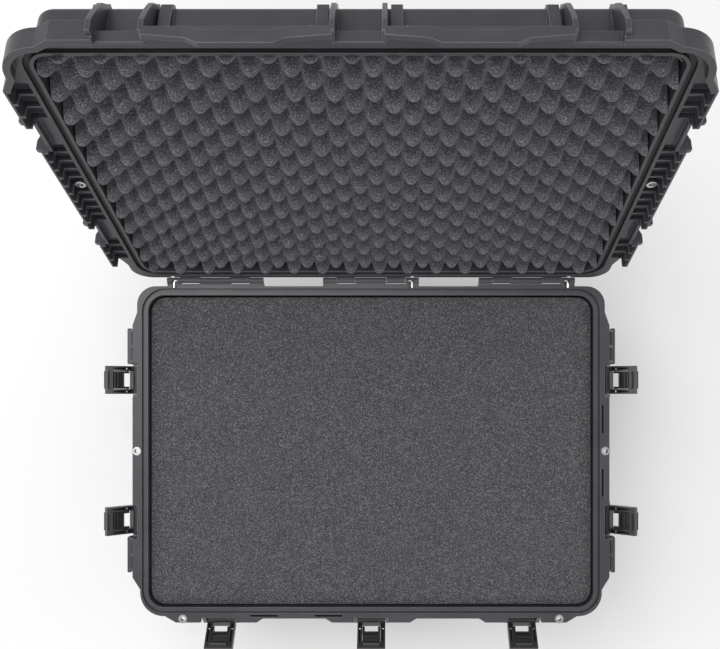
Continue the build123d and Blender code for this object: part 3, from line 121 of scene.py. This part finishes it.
class Wiring:
    """Adds and joins the nodes of one node tree."""

    def __init__(self, tree: bpy.types.NodeTree) -> None:
        """Take the tree to wire.

        Args:
            tree: the material's or the group's node tree.
        """
        self.tree = tree

    def add(self, kind: str, inputs: dict[str, object] | None = None,
            **settings: object) -> bpy.types.Node:
        """Add a node and set it up.

        Args:
            kind: the node's Blender type.
            inputs: socket names, each with a plain value or the socket to link from.
            settings: the node's own properties.

        Returns:
            The new node.
        """
        node = self.tree.nodes.new(kind)
        for name, value in settings.items():
            setattr(node, name, value)
        for name, value in (inputs or {}).items():
            self.feed(node.inputs[name], value)
        return node

    def feed(self, socket: bpy.types.NodeSocket, value: object) -> None:
        """Link a socket, or set its plain value.

        Args:
            socket: the input socket.
            value: an output socket, or a number, colour or vector.
        """
        if isinstance(value, bpy.types.NodeSocket):
            self.tree.links.new(value, socket)
        else:
            socket.default_value = value

    def ramp(self, value: bpy.types.NodeSocket, span: Span,
             result: Span = WHOLE) -> bpy.types.NodeSocket:
        """Map a value from one range to another, held at both ends.

        Args:
            value: the socket to map.
            span: the input values that give the two ends of the result.
            result: the range of the output.

        Returns:
            The mapped value's socket.
        """
        node = self.add("ShaderNodeMapRange", {
            "Value": value, "From Min": span.low, "From Max": span.high,
            "To Min": result.low, "To Max": result.high,
        }, clamp=True)
        return node.outputs["Result"]

    def blend(self, share: bpy.types.NodeSocket, first: object,
              second: object) -> bpy.types.NodeSocket:
        """Mix two colours.

        Args:
            share: how much of the second colour shows.
            first: a colour or a colour socket.
            second: a colour or a colour socket.

        Returns:
            The mixed colour's socket.
        """
        node = self.add("ShaderNodeMix", data_type="RGBA")
        self.feed(node.inputs[MIX_SHARE], share)
        for index, colour in ((MIX_FIRST, first), (MIX_SECOND, second)):
            plain = not isinstance(colour, bpy.types.NodeSocket)
            self.feed(node.inputs[index], (*colour, 1.0) if plain else colour)
        return node.outputs[MIX_RESULT]

    def math(self, operation: str, first: object, second: object) -> bpy.types.NodeSocket:
        """Join two values by one operation.

        Args:
            operation: the Math node's operation.
            first: a number or a socket.
            second: a number or a socket.

        Returns:
            The result's socket.
        """
        node = self.add("ShaderNodeMath", operation=operation)
        self.feed(node.inputs[0], first)
        self.feed(node.inputs[1], second)
        return node.outputs[0]


def new_group(
    name: str, inputs: dict[str, tuple[str, object]], outputs: tuple[str, ...],
) -> tuple[bpy.types.NodeTree, Wiring, bpy.types.Node, bpy.types.Node]:
    """Start a shader node group with named sockets.

    Args:
        name: the group's name.
        inputs: each input's name, with its socket type and default.
        outputs: the names of the value outputs.

    Returns:
        The group's tree, its wiring, its input node and its output node.
    """
    tree = bpy.data.node_groups.new(name, "ShaderNodeTree")
    for label, (kind, default) in inputs.items():
        socket = tree.interface.new_socket(label, in_out="INPUT", socket_type=kind)
        if default is not None:
            socket.default_value = default
    for label in outputs:
        tree.interface.new_socket(label, in_out="OUTPUT", socket_type="NodeSocketFloat")
    wiring = Wiring(tree)
    return tree, wiring, wiring.add("NodeGroupInput"), wiring.add("NodeGroupOutput")


def moulded_grain_group() -> bpy.types.NodeTree:
    """Make the fine stipple that a textured mould leaves, with a slow mottle over it.

    Returns:
        The group's tree, with outputs Height and Mottle.
    """
    tree, wiring, source, sink = new_group("moulded_grain", {
        "Vector": ("NodeSocketVector", None),
        "Grain Scale": ("NodeSocketFloat", 900.0),
        "Mottle Scale": ("NodeSocketFloat", 14.0),
    }, ("Height", "Mottle"))
    stipple = wiring.add("ShaderNodeTexNoise", {
        "Vector": source.outputs["Vector"], "Scale": source.outputs["Grain Scale"],
        "Detail": 3.0, "Roughness": 0.62,
    })
    mottle = wiring.add("ShaderNodeTexNoise", {
        "Vector": source.outputs["Vector"], "Scale": source.outputs["Mottle Scale"],
        "Detail": 4.0, "Roughness": 0.55, "Distortion": 0.6,
    })
    wiring.feed(sink.inputs["Height"], stipple.outputs["Fac"])
    wiring.feed(sink.inputs["Mottle"], mottle.outputs["Fac"])
    return tree


def painted_edge_highlight_group() -> bpy.types.NodeTree:
    """Make the mask of moulded edges, where a paler colour is painted on as a highlight.

    Returns:
        The group's tree, with output Edge.
    """
    tree, wiring, source, sink = new_group("painted_edge_highlight", {
        "Rounded Normal": ("NodeSocketVector", None),
        "True Normal": ("NodeSocketVector", None),
        "Breakup": ("NodeSocketFloat", 0.5),
    }, ("Edge",))
    facing = wiring.add("ShaderNodeVectorMath", operation="DOT_PRODUCT")
    wiring.feed(facing.inputs[0], source.outputs["Rounded Normal"])
    wiring.feed(facing.inputs[1], source.outputs["True Normal"])
    turn = wiring.ramp(facing.outputs["Value"], EDGE_LEAN)
    uneven = wiring.ramp(source.outputs["Breakup"], EDGE_BREAKUP, EDGE_STRENGTH)
    wiring.feed(sink.inputs["Edge"], wiring.math("MULTIPLY", turn, uneven))
    return tree


def foam_cells_group() -> bpy.types.NodeTree:
    """Make open-celled foam: small pits, and the pale specks of cut cell walls.

    Returns:
        The group's tree, with outputs Height, Speck and Cloud.
    """
    tree, wiring, source, sink = new_group("foam_cells", {
        "Vector": ("NodeSocketVector", None),
        "Cell Scale": ("NodeSocketFloat", 600.0),
    }, ("Height", "Speck", "Cloud"))
    vector, scale = source.outputs["Vector"], source.outputs["Cell Scale"]
    cells = wiring.add("ShaderNodeTexVoronoi", {
        "Vector": vector, "Scale": scale, "Randomness": 1.0,
    })
    pits = wiring.ramp(cells.outputs["Distance"], FOAM_PIT)
    tufts = wiring.add("ShaderNodeTexNoise", {
        "Vector": vector, "Scale": wiring.math("MULTIPLY", scale, FOAM_TUFT_SCALE),
        "Detail": 2.0, "Roughness": 0.7,
    })
    cloud = wiring.add("ShaderNodeTexNoise", {
        "Vector": vector, "Scale": wiring.math("MULTIPLY", scale, FOAM_CLOUD_SCALE),
        "Detail": 3.0, "Roughness": 0.5,
    })
    wiring.feed(sink.inputs["Height"], wiring.math("ADD", pits, tufts.outputs["Fac"]))
    wiring.feed(sink.inputs["Speck"], wiring.ramp(tufts.outputs["Fac"], FOAM_SPECK))
    wiring.feed(sink.inputs["Cloud"], cloud.outputs["Fac"])
    return tree


def drawn_steel_group() -> bpy.types.NodeTree:
    """Make the fine draw lines and dull patches of steel wire and turned fittings.

    Returns:
        The group's tree, with outputs Height and Dull.
    """
    tree, wiring, source, sink = new_group("drawn_steel", {
        "Vector": ("NodeSocketVector", None),
        "Line Scale": ("NodeSocketFloat", 1600.0),
    }, ("Height", "Dull"))
    stretched = wiring.add("ShaderNodeMapping", {
        "Vector": source.outputs["Vector"], "Scale": STEEL_LINE_STRETCH,
    })
    lines = wiring.add("ShaderNodeTexNoise", {
        "Vector": stretched.outputs["Vector"], "Scale": source.outputs["Line Scale"],
        "Detail": 2.0,
    })
    dull = wiring.add("ShaderNodeTexNoise", {
        "Vector": source.outputs["Vector"], "Scale": 120.0, "Detail": 3.0,
    })
    wiring.feed(sink.inputs["Height"], lines.outputs["Fac"])
    wiring.feed(sink.inputs["Dull"], dull.outputs["Fac"])
    return tree


@dataclass(frozen=True)
class Effects:
    """The node groups that the finishes share."""

    grain: bpy.types.NodeTree
    edges: bpy.types.NodeTree
    cells: bpy.types.NodeTree
    steel: bpy.types.NodeTree

    @classmethod
    def build(cls) -> "Effects":
        """Build each group once."""
        return cls(
            grain=moulded_grain_group(), edges=painted_edge_highlight_group(),
            cells=foam_cells_group(), steel=drawn_steel_group(),
        )


def new_material(
    name: str,
) -> tuple[bpy.types.Material, Wiring, bpy.types.Node, bpy.types.NodeSocket]:
    """Start a material with a Principled shader and object coordinates.

    Args:
        name: the material's name.

    Returns:
        The material, its wiring, its shader and the coordinate socket.
    """
    material = bpy.data.materials.new(name)
    material.use_nodes = True
    wiring = Wiring(material.node_tree)
    shader = material.node_tree.nodes["Principled BSDF"]
    place = wiring.add("ShaderNodeTexCoord")
    return material, wiring, shader, place.outputs["Object"]


# ---- Finishes --------------------------------------------------------------------------


@dataclass(frozen=True)
class MouldedFinish:
    """A moulded resin or rubber with a stippled skin, softened edges and a painted highlight along them."""

    name: str
    body: Colour
    shade: Colour
    # edge: the colour of the painted highlight along the edges
    edge: Colour
    roughness: float
    roughness_swing: float
    grain_scale: float
    grain_depth: float
    edge_radius: float
    specular: float = 0.5

    def make(self, effects: Effects) -> bpy.types.Material:
        """Build the material.

        Args:
            effects: the shared node groups.

        Returns:
            The finished material.
        """
        material, wiring, shader, place = new_material(self.name)
        grain = wiring.add("ShaderNodeGroup", {}, node_tree=effects.grain)
        wiring.feed(grain.inputs["Vector"], place)
        wiring.feed(grain.inputs["Grain Scale"], self.grain_scale)
        rounded = wiring.add("ShaderNodeBevel", {"Radius": self.edge_radius}, samples=4)
        surface = wiring.add("ShaderNodeNewGeometry")
        edges = wiring.add("ShaderNodeGroup", {}, node_tree=effects.edges)
        wiring.feed(edges.inputs["Rounded Normal"], rounded.outputs["Normal"])
        wiring.feed(edges.inputs["True Normal"], surface.outputs["True Normal"])
        wiring.feed(edges.inputs["Breakup"], grain.outputs["Mottle"])
        tone = wiring.ramp(grain.outputs["Mottle"], SKIN_TONES)
        skin = wiring.blend(tone, self.body, self.shade)
        # painted highlight: the edge colour is laid over the skin along the edges
        edge_highlighted_skin = wiring.blend(edges.outputs["Edge"], skin, self.edge)
        wiring.feed(shader.inputs["Base Color"], edge_highlighted_skin)
        swing = Span(self.roughness - self.roughness_swing, self.roughness + self.roughness_swing)
        dull = wiring.ramp(grain.outputs["Mottle"], SKIN_DULLING, swing)
        wiring.feed(shader.inputs["Roughness"], dull)
        bump = wiring.add("ShaderNodeBump", {
            "Height": grain.outputs["Height"], "Normal": rounded.outputs["Normal"],
            "Strength": 0.5, "Distance": self.grain_depth,
        })
        wiring.feed(shader.inputs["Normal"], bump.outputs["Normal"])
        shader.inputs["Specular IOR Level"].default_value = self.specular
        return material


@dataclass(frozen=True)
class FoamFinish:
    """Open-celled foam with pits and pale specks."""

    name: str
    body: Colour
    cloud: Colour
    speck: Colour
    cell_scale: float
    cell_depth: float
    sheen: float = 0.15

    def make(self, effects: Effects) -> bpy.types.Material:
        """Build the material.

        Args:
            effects: the shared node groups.

        Returns:
            The finished material.
        """
        material, wiring, shader, place = new_material(self.name)
        cells = wiring.add("ShaderNodeGroup", {}, node_tree=effects.cells)
        wiring.feed(cells.inputs["Vector"], place)
        wiring.feed(cells.inputs["Cell Scale"], self.cell_scale)
        share = wiring.ramp(cells.outputs["Cloud"], FOAM_TONES)
        tone = wiring.blend(share, self.body, self.cloud)
        flecked = wiring.blend(cells.outputs["Speck"], tone, self.speck)
        wiring.feed(shader.inputs["Base Color"], flecked)
        dull = wiring.ramp(cells.outputs["Height"], FOAM_HEIGHTS, FOAM_ROUGHNESS)
        wiring.feed(shader.inputs["Roughness"], dull)
        bump = wiring.add("ShaderNodeBump", {
            "Height": cells.outputs["Height"], "Strength": 0.8, "Distance": self.cell_depth,
        })
        wiring.feed(shader.inputs["Normal"], bump.outputs["Normal"])
        shader.inputs["Sheen Weight"].default_value = self.sheen
        shader.inputs["Sheen Roughness"].default_value = FOAM_SHEEN_ROUGHNESS
        shader.inputs["Specular IOR Level"].default_value = FOAM_SPECULAR
        return material


@dataclass(frozen=True)
class SteelFinish:
    """Drawn or turned steel with fine lines and dull patches."""

    name: str
    bright: Colour
    dull: Colour
    roughness: float
    line_depth: float = 0.00002

    def make(self, effects: Effects) -> bpy.types.Material:
        """Build the material.

        Args:
            effects: the shared node groups.

        Returns:
            The finished material.
        """
        material, wiring, shader, place = new_material(self.name)
        steel = wiring.add("ShaderNodeGroup", {}, node_tree=effects.steel)
        wiring.feed(steel.inputs["Vector"], place)
        patches = wiring.ramp(steel.outputs["Dull"], STEEL_PATCHES)
        wiring.feed(shader.inputs["Base Color"], wiring.blend(patches, self.bright, self.dull))
        swing = Span(self.roughness, self.roughness + STEEL_ROUGHER)
        wiring.feed(shader.inputs["Roughness"],
                    wiring.ramp(steel.outputs["Dull"], STEEL_DULLING, swing))
        bump = wiring.add("ShaderNodeBump", {
            "Height": steel.outputs["Height"], "Strength": 0.4, "Distance": self.line_depth,
        })
        wiring.feed(shader.inputs["Normal"], bump.outputs["Normal"])
        shader.inputs["Metallic"].default_value = 1.0
        return material


# Each moulded finish's edge colour is a painted highlight along the part's edges.
FINISHES: dict[Slot, MouldedFinish | FoamFinish | SteelFinish] = {
    Slot.CASE: MouldedFinish(
        name="case_resin_finish", body=(0.042, 0.0395, 0.046), shade=(0.053, 0.05, 0.058),
        edge=(0.27, 0.258, 0.29), roughness=0.38, roughness_swing=0.05, grain_scale=1100.0,
        grain_depth=0.06 * MM, edge_radius=1.2 * MM,
    ),
    Slot.LATCH: MouldedFinish(
        name="latch_resin_finish", body=(0.024, 0.023, 0.026), shade=(0.031, 0.03, 0.034),
        edge=(0.18, 0.176, 0.192), roughness=0.33, roughness_swing=0.05, grain_scale=1500.0,
        grain_depth=0.04 * MM, edge_radius=0.7 * MM,
    ),
    Slot.HANDLE: MouldedFinish(
        name="handle_resin_finish", body=(0.024, 0.024, 0.027), shade=(0.03, 0.03, 0.033),
        edge=(0.08, 0.078, 0.086), roughness=0.4, roughness_swing=0.05, grain_scale=1300.0,
        grain_depth=0.05 * MM, edge_radius=0.8 * MM,
    ),
    Slot.VALVE: MouldedFinish(
        name="valve_resin_finish", body=(0.018, 0.018, 0.019), shade=(0.024, 0.024, 0.026),
        edge=(0.07, 0.07, 0.074), roughness=0.34, roughness_swing=0.04, grain_scale=1500.0,
        grain_depth=0.04 * MM, edge_radius=0.5 * MM,
    ),
    Slot.GRIP: MouldedFinish(
        name="grip_rubber_finish", body=(0.016, 0.016, 0.017), shade=(0.022, 0.022, 0.023),
        edge=(0.045, 0.045, 0.046), roughness=0.66, roughness_swing=0.06, grain_scale=1800.0,
        grain_depth=0.1 * MM, edge_radius=0.8 * MM, specular=0.35,
    ),
    Slot.SEAL: MouldedFinish(
        name="seal_rubber_finish", body=(0.01, 0.01, 0.011), shade=(0.014, 0.014, 0.015),
        edge=(0.03, 0.03, 0.031), roughness=0.5, roughness_swing=0.06, grain_scale=2200.0,
        grain_depth=0.05 * MM, edge_radius=0.5 * MM, specular=0.4,
    ),
    Slot.STEEL: SteelFinish(
        name="stainless_finish", bright=(0.72, 0.71, 0.7), dull=(0.5, 0.5, 0.5),
        roughness=0.22,
    ),
    Slot.SPRING: SteelFinish(
        name="spring_steel_finish", bright=(0.6, 0.6, 0.61), dull=(0.38, 0.38, 0.4),
        roughness=0.26,
    ),
    Slot.BASE_FOAM: FoamFinish(
        name="base_foam_finish", body=(0.04, 0.039, 0.043), cloud=(0.048, 0.047, 0.051),
        speck=(0.19, 0.187, 0.2), cell_scale=600.0, cell_depth=0.7 * MM,
    ),
    Slot.LID_FOAM: FoamFinish(
        name="lid_foam_finish", body=(0.056, 0.056, 0.063), cloud=(0.068, 0.068, 0.076),
        speck=(0.235, 0.235, 0.258), cell_scale=600.0, cell_depth=0.6 * MM, sheen=0.2,
    ),
    Slot.MEMBRANE: MouldedFinish(
        name="membrane_finish", body=(0.55, 0.55, 0.53), shade=(0.62, 0.62, 0.6),
        edge=(0.7, 0.7, 0.68), roughness=0.75, roughness_swing=0.05, grain_scale=2600.0,
        grain_depth=0.04 * MM, edge_radius=0.2 * MM, specular=0.3,
    ),
}


@dataclass
class Fittings:
    """The parts that keep their CAD shapes: shell, lid, latches, hinges, handles and valve."""

    materials: dict[Slot, bpy.types.Material]

    def dress(self) -> None:
        """Give each CAD node the finish of its own material slot."""
        parts = frame["record"]["subparts"]
        slots = {part["node"]: Slot(part["material_slot"]) for part in parts}
        for name, node in frame["nodes"].items():
            node.data.materials.clear()
            node.data.materials.append(self.materials[slots[name]])
            log.info("finish %s on %s", slots[name].value, name)


@dataclass
class SlotTrays:
    """The closed trays moulded under the slots of the flange, over the handles' ends."""

    material: bpy.types.Material
    front_slots: tuple[float, ...] = (-174.0 * MM, -69.0 * MM)
    front_y: float = -268.5 * MM
    side_slots: tuple[float, ...] = (-52.0 * MM, 52.0 * MM)
    side_x: float = 377.5 * MM
    length: float = 50.0 * MM
    width: float = 9.0 * MM
    depth: float = 6.0 * MM
    wall: float = 1.6 * MM
    flange_underside: float = 335.0 * MM
    corner: float = 1.0 * MM
    upward: float = 0.9
    touching: float = 0.1 * MM

    def build(self) -> bpy.types.Object:
        """Build the trays as one piece that rides on the base.

        Returns:
            The piece's object.
        """
        mesh = bmesh.new()
        middle_z = self.flange_underside - self.depth / 2
        trays = [((x, self.front_y, middle_z), (self.length, self.width, self.depth))
                 for x in self.front_slots]
        trays += [((self.side_x, y, middle_z), (self.width, self.length, self.depth))
                  for y in self.side_slots]
        for middle, size in trays:
            verts = bmesh.ops.create_cube(mesh, size=1.0)["verts"]
            bmesh.ops.scale(mesh, vec=size, verts=verts)
            bmesh.ops.translate(mesh, vec=middle, verts=verts)
        tops = [face for face in mesh.faces if face.normal.z > self.upward]
        bmesh.ops.inset_individual(mesh, faces=tops, thickness=self.wall)
        sunk = bmesh.ops.extrude_discrete_faces(mesh, faces=tops)["faces"]
        inner = list({vert for face in sunk for vert in face.verts})
        bmesh.ops.translate(mesh, vec=(0.0, 0.0, self.wall - self.depth), verts=inner)
        bottom = self.flange_underside - self.depth + self.touching
        low = [edge for edge in mesh.edges if all(vert.co.z < bottom for vert in edge.verts)]
        bmesh.ops.bevel(mesh, geom=low, offset=self.corner, offset_type="OFFSET", segments=2,
                        profile=0.5, affect="EDGES", material=-1)
        bmesh.ops.recalc_face_normals(mesh, faces=mesh.faces)
        data = bpy.data.meshes.new("flange_slot_trays")
        mesh.to_mesh(data)
        mesh.free()
        data.materials.append(self.material)
        piece = bpy.data.objects.new("flange_slot_trays", data)
        bpy.context.scene.collection.objects.link(piece)
        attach(piece, "base")
        log.info("piece flange_slot_trays rides on base, %d faces", len(data.polygons))
        return piece


# ---- Foam ------------------------------------------------------------------------------


@dataclass
class FoamSlab:
    """A slab of foam with rounded corners, one worked face and a flat back, in its own frame.

    The frame's Z points out of the worked face, and the slab's back lies at z = 0.
    """

    name: str
    body: str
    node: str
    slot: Slot
    material: bpy.types.Material
    half_x: float
    half_y: float
    corner: float
    spacing: float
    placed: Matrix
    edge_round: float = 0.0

    def sheet(self) -> bmesh.types.BMesh:
        """Make the flat grid with its corners drawn round.

        Returns:
            The grid, centred on the frame's origin.
        """
        mesh = bmesh.new()
        bmesh.ops.create_grid(mesh, x_segments=round(2 * self.half_x / self.spacing),
                              y_segments=round(2 * self.half_y / self.spacing), size=1.0)
        reach = max(v.co.x for v in mesh.verts)
        stretch = (self.half_x / reach, self.half_y / reach, 1.0)
        bmesh.ops.scale(mesh, vec=stretch, verts=mesh.verts)
        for vert in mesh.verts:
            past_x = abs(vert.co.x) - (self.half_x - self.corner)
            past_y = abs(vert.co.y) - (self.half_y - self.corner)
            if past_x > 0 and past_y > 0:
                share = max(past_x, past_y) / math.hypot(past_x, past_y)
                vert.co.x = math.copysign(self.half_x - self.corner + past_x * share, vert.co.x)
                vert.co.y = math.copysign(self.half_y - self.corner + past_y * share, vert.co.y)
        return mesh

    def build(self, height: Callable[[float, float], float]) -> bpy.types.Object:
        """Raise the worked face, close the sides and back, and put the slab in place.

        Args:
            height: the worked face's height over the back at a point of the sheet.

        Returns:
            The slab's object.
        """
        mesh = self.sheet()
        for vert in mesh.verts:
            vert.co.z = height(vert.co.x, vert.co.y)
        for face in mesh.faces:
            face.smooth = True
        rim = [edge for edge in mesh.edges if edge.is_boundary]
        walls = bmesh.ops.extrude_edge_only(mesh, edges=rim)["geom"]
        for part in walls:
            if isinstance(part, bmesh.types.BMVert):
                part.co.z = 0.0
            elif isinstance(part, bmesh.types.BMFace):
                part.smooth = False
        hole = [edge for edge in mesh.edges if edge.is_boundary]
        bmesh.ops.holes_fill(mesh, edges=hole, sides=0)
        if self.edge_round > 0:
            bevelled = bmesh.ops.bevel(mesh, geom=rim, offset=self.edge_round,
                                       offset_type="OFFSET", segments=3, profile=0.5,
                                       affect="EDGES", material=-1)
            for face in bevelled["faces"]:
                face.smooth = True
        else:
            for edge in rim:
                edge.smooth = False
        bmesh.ops.recalc_face_normals(mesh, faces=mesh.faces)
        bmesh.ops.transform(mesh, matrix=self.placed, verts=mesh.verts)
        data = bpy.data.meshes.new(self.name)
        mesh.to_mesh(data)
        mesh.free()
        data.materials.append(self.material)
        piece = bpy.data.objects.new(self.name, data)
        bpy.context.scene.collection.objects.link(piece)
        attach(piece, self.body)
        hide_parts(self.node)
        log.info("piece %s rides on %s, %d faces", self.name, self.body, len(data.polygons))
        return piece


@dataclass
class BaseFoam:
    """The flat foam that fills the base: a pad on the floor and layers over it."""

    material: bpy.types.Material
    nodes: tuple[str, ...] = (
        "base_foam_pad", "base_foam_layer_1", "base_foam_layer_2", "base_foam_layer_3",
    )
    corner: float = 24 * MM
    spacing: float = 9 * MM
    edge_round: float = 2.5 * MM
    sag: float = 0.5 * MM
    sag_pitch: float = 90 * MM

    def build(self) -> None:
        """Build each layer inside its CAD solid, the top one slightly uneven."""
        for node in self.nodes:
            low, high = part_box(node)
            thickness = high.z - low.z
            place = Matrix.Translation(((low.x + high.x) / 2, (low.y + high.y) / 2, low.z))
            slab = FoamSlab(
                name=f"{node}_foam", body="base", node=node, slot=Slot.BASE_FOAM,
                material=self.material, half_x=(high.x - low.x) / 2, half_y=(high.y - low.y) / 2,
                corner=self.corner, spacing=self.spacing, placed=place,
                edge_round=self.edge_round,
            )
            slab.build(lambda x, y, top=thickness: top - self.dip(x, y))

    def dip(self, x: float, y: float) -> float:
        """How far the cut face lies under its highest plane.

        Args:
            x: along the case.
            y: across the case.

        Returns:
            The depth in metres.
        """
        wave = noise.noise(Vector((x / self.sag_pitch, y / self.sag_pitch, 0.0)))
        return self.sag * (0.5 + 0.5 * wave)


@dataclass
class LidFoam:
    """The convoluted foam in the lid: rows of rounded peaks, shifted by half a pitch in turn."""

    material: bpy.types.Material
    pitch: float = 45.4 * MM
    row_pitch: float = 21.3 * MM
    first_peak: float = -348.6 * MM
    first_row: float = 245.5 * MM
    peak: float = 32.0 * MM
    rounding: float = 0.92
    spacing: float = 2.5 * MM
    corner: float = 19 * MM
    clearance: float = 0.3 * MM

    def lid_to_rest(self) -> Matrix:
        """Find the turn that carries the shut lid to where it stands open.

        Returns:
            The matrix from the shut lid's frame to the case's.
        """
        joint = next(j for j in frame["joints"] if j["name"] == "lid_hinge")
        hinge = Vector(joint["pos_m"])
        shut = math.radians(joint["range_deg"][1])
        turn = Matrix.Rotation(-shut, 4, Vector(joint["axis"]))
        return Matrix.Translation(hinge) @ turn @ Matrix.Translation(-hinge)

    def build(self) -> bpy.types.Object:
        """Build the foam inside the CAD slab, in the shut lid's frame, and open it with the lid.

        Returns:
            The foam's object.
        """
        opened = self.lid_to_rest()
        shut = opened.inverted()
        corners = [shut @ v.co for v in frame["nodes"]["lid_foam"].data.vertices]
        low = Vector(map(min, *corners))
        high = Vector(map(max, *corners))
        middle_x, middle_y = (low.x + high.x) / 2, (low.y + high.y) / 2
        depth = high.z - low.z
        # the back touches the lid's panel, and the worked face looks down when the lid is shut
        flip = Matrix.Rotation(math.pi, 4, "X")
        placed = opened @ Matrix.Translation((middle_x, middle_y, high.z)) @ flip
        slab = FoamSlab(
            name="lid_foam_convoluted", body="lid", node="lid_foam", slot=Slot.LID_FOAM,
            material=self.material, half_x=(high.x - low.x) / 2 - self.clearance,
            half_y=(high.y - low.y) / 2 - self.clearance,
            corner=self.corner, spacing=self.spacing, placed=placed,
        )
        return slab.build(lambda x, y: depth - self.hollow(middle_x + x, middle_y - y))

    def hollow(self, x: float, y: float) -> float:
        """How deep the worked face lies under its peaks.

        Args:
            x: along the lid.
            y: across the lid, from the front to the hinge.

        Returns:
            The depth in metres.
        """
        along = math.cos(2 * math.pi * (x - self.first_peak) / self.pitch)
        across = math.cos(math.pi * (y - self.first_row) / self.row_pitch)
        quarter = self.rounding * math.pi / 2
        swell = math.sin(quarter * along * across) / math.sin(quarter)
        return self.peak * (0.5 - 0.5 * swell)


# ---- Studio ----------------------------------------------------------------------------


@dataclass(frozen=True)
class SoftLight:
    """One square studio light."""

    name: str
    place: Point
    aim: Point
    size: float
    power: float

    def hang(self) -> None:
        """Add the light, turned to face its aim."""
        data = bpy.data.lights.new(self.name, "AREA")
        data.size = self.size
        data.energy = self.power
        lamp = bpy.data.objects.new(self.name, data)
        lamp.location = self.place
        line = Vector(self.aim) - Vector(self.place)
        lamp.rotation_euler = line.to_track_quat("-Z", "Y").to_euler()
        bpy.context.scene.collection.objects.link(lamp)


@dataclass
class Studio:
    """A pale floor, soft lights and a camera that looks straight down."""

    floor_tone: Colour = (0.90, 0.90, 0.90)
    floor_mottle: float = 1.01
    floor_roughness: float = 0.75
    floor_size: float = 60.0
    sky: float = 0.48
    eye: Point = (0.0358, 0.1001, 1.798)
    lens: float = 44.6
    sensor: float = 36.0
    shift: tuple[float, float] = (-0.0458, 0.0904)
    lights: tuple[SoftLight, ...] = (
        SoftLight("light_over", (-0.7, 0.9, 3.0), (0.0, 0.1, 0.4), 1.8, 40.0),
        SoftLight("light_front", (0.0, -2.4, 2.2), (0.0, 0.3, 0.6), 1.6, 22.0),
        SoftLight("light_left", (-2.6, 0.4, 1.9), (0.0, 0.1, 0.4), 1.4, 22.0),
        SoftLight("light_right", (2.6, 0.4, 1.9), (0.0, 0.1, 0.4), 1.4, 18.0),
    )

    def build(self) -> None:
        """Lay the floor, hang the lights and set up the camera."""
        self.lay_floor()
        for light in self.lights:
            light.hang()
        world = bpy.data.worlds.new("studio_sky")
        world.use_nodes = True
        glow = world.node_tree.nodes["Background"]
        glow.inputs["Color"].default_value = (1.0, 1.0, 1.0, 1.0)
        glow.inputs["Strength"].default_value = self.sky
        bpy.context.scene.world = world
        bpy.context.scene.view_settings.view_transform = "Standard"
        self.set_camera()

    def lay_floor(self) -> None:
        """Lay the floor under the case."""
        mesh = bmesh.new()
        bmesh.ops.create_grid(mesh, x_segments=2, y_segments=2, size=self.floor_size / 2)
        data = bpy.data.meshes.new("studio_floor")
        mesh.to_mesh(data)
        mesh.free()
        material, wiring, shader, place = new_material("floor_paint")
        faint = wiring.add("ShaderNodeTexNoise", {"Vector": place, "Scale": 3.0, "Detail": 2.0})
        paler = tuple(tone * self.floor_mottle for tone in self.floor_tone)
        paint = wiring.blend(faint.outputs["Fac"], self.floor_tone, paler)
        wiring.feed(shader.inputs["Base Color"], paint)
        shader.inputs["Roughness"].default_value = self.floor_roughness
        data.materials.append(material)
        floor = bpy.data.objects.new("studio_floor", data)
        bpy.context.scene.collection.objects.link(floor)
        log.info("floor laid")

    def set_camera(self) -> None:
        """Place the camera over the case, looking down, with +Y up in its picture."""
        data = bpy.data.cameras.new("camera_over")
        data.lens = self.lens
        data.sensor_width = self.sensor
        data.shift_x, data.shift_y = self.shift
        camera = bpy.data.objects.new("camera_over", data)
        camera.location = self.eye
        bpy.context.scene.collection.objects.link(camera)
        bpy.context.scene.camera = camera
        log.info("camera set")


def main() -> None:
    """Build the case's finishes, its foam and the studio, in that order."""
    logging.basicConfig(level=logging.INFO, format="%(message)s")
    effects = Effects.build()
    materials = {slot: finish.make(effects) for slot, finish in FINISHES.items()}
    Fittings(materials).dress()
    SlotTrays(materials[Slot.CASE]).build()
    BaseFoam(materials[Slot.BASE_FOAM]).build()
    LidFoam(materials[Slot.LID_FOAM]).build()
    Studio().build()


if __name__ == "__main__":
    main()
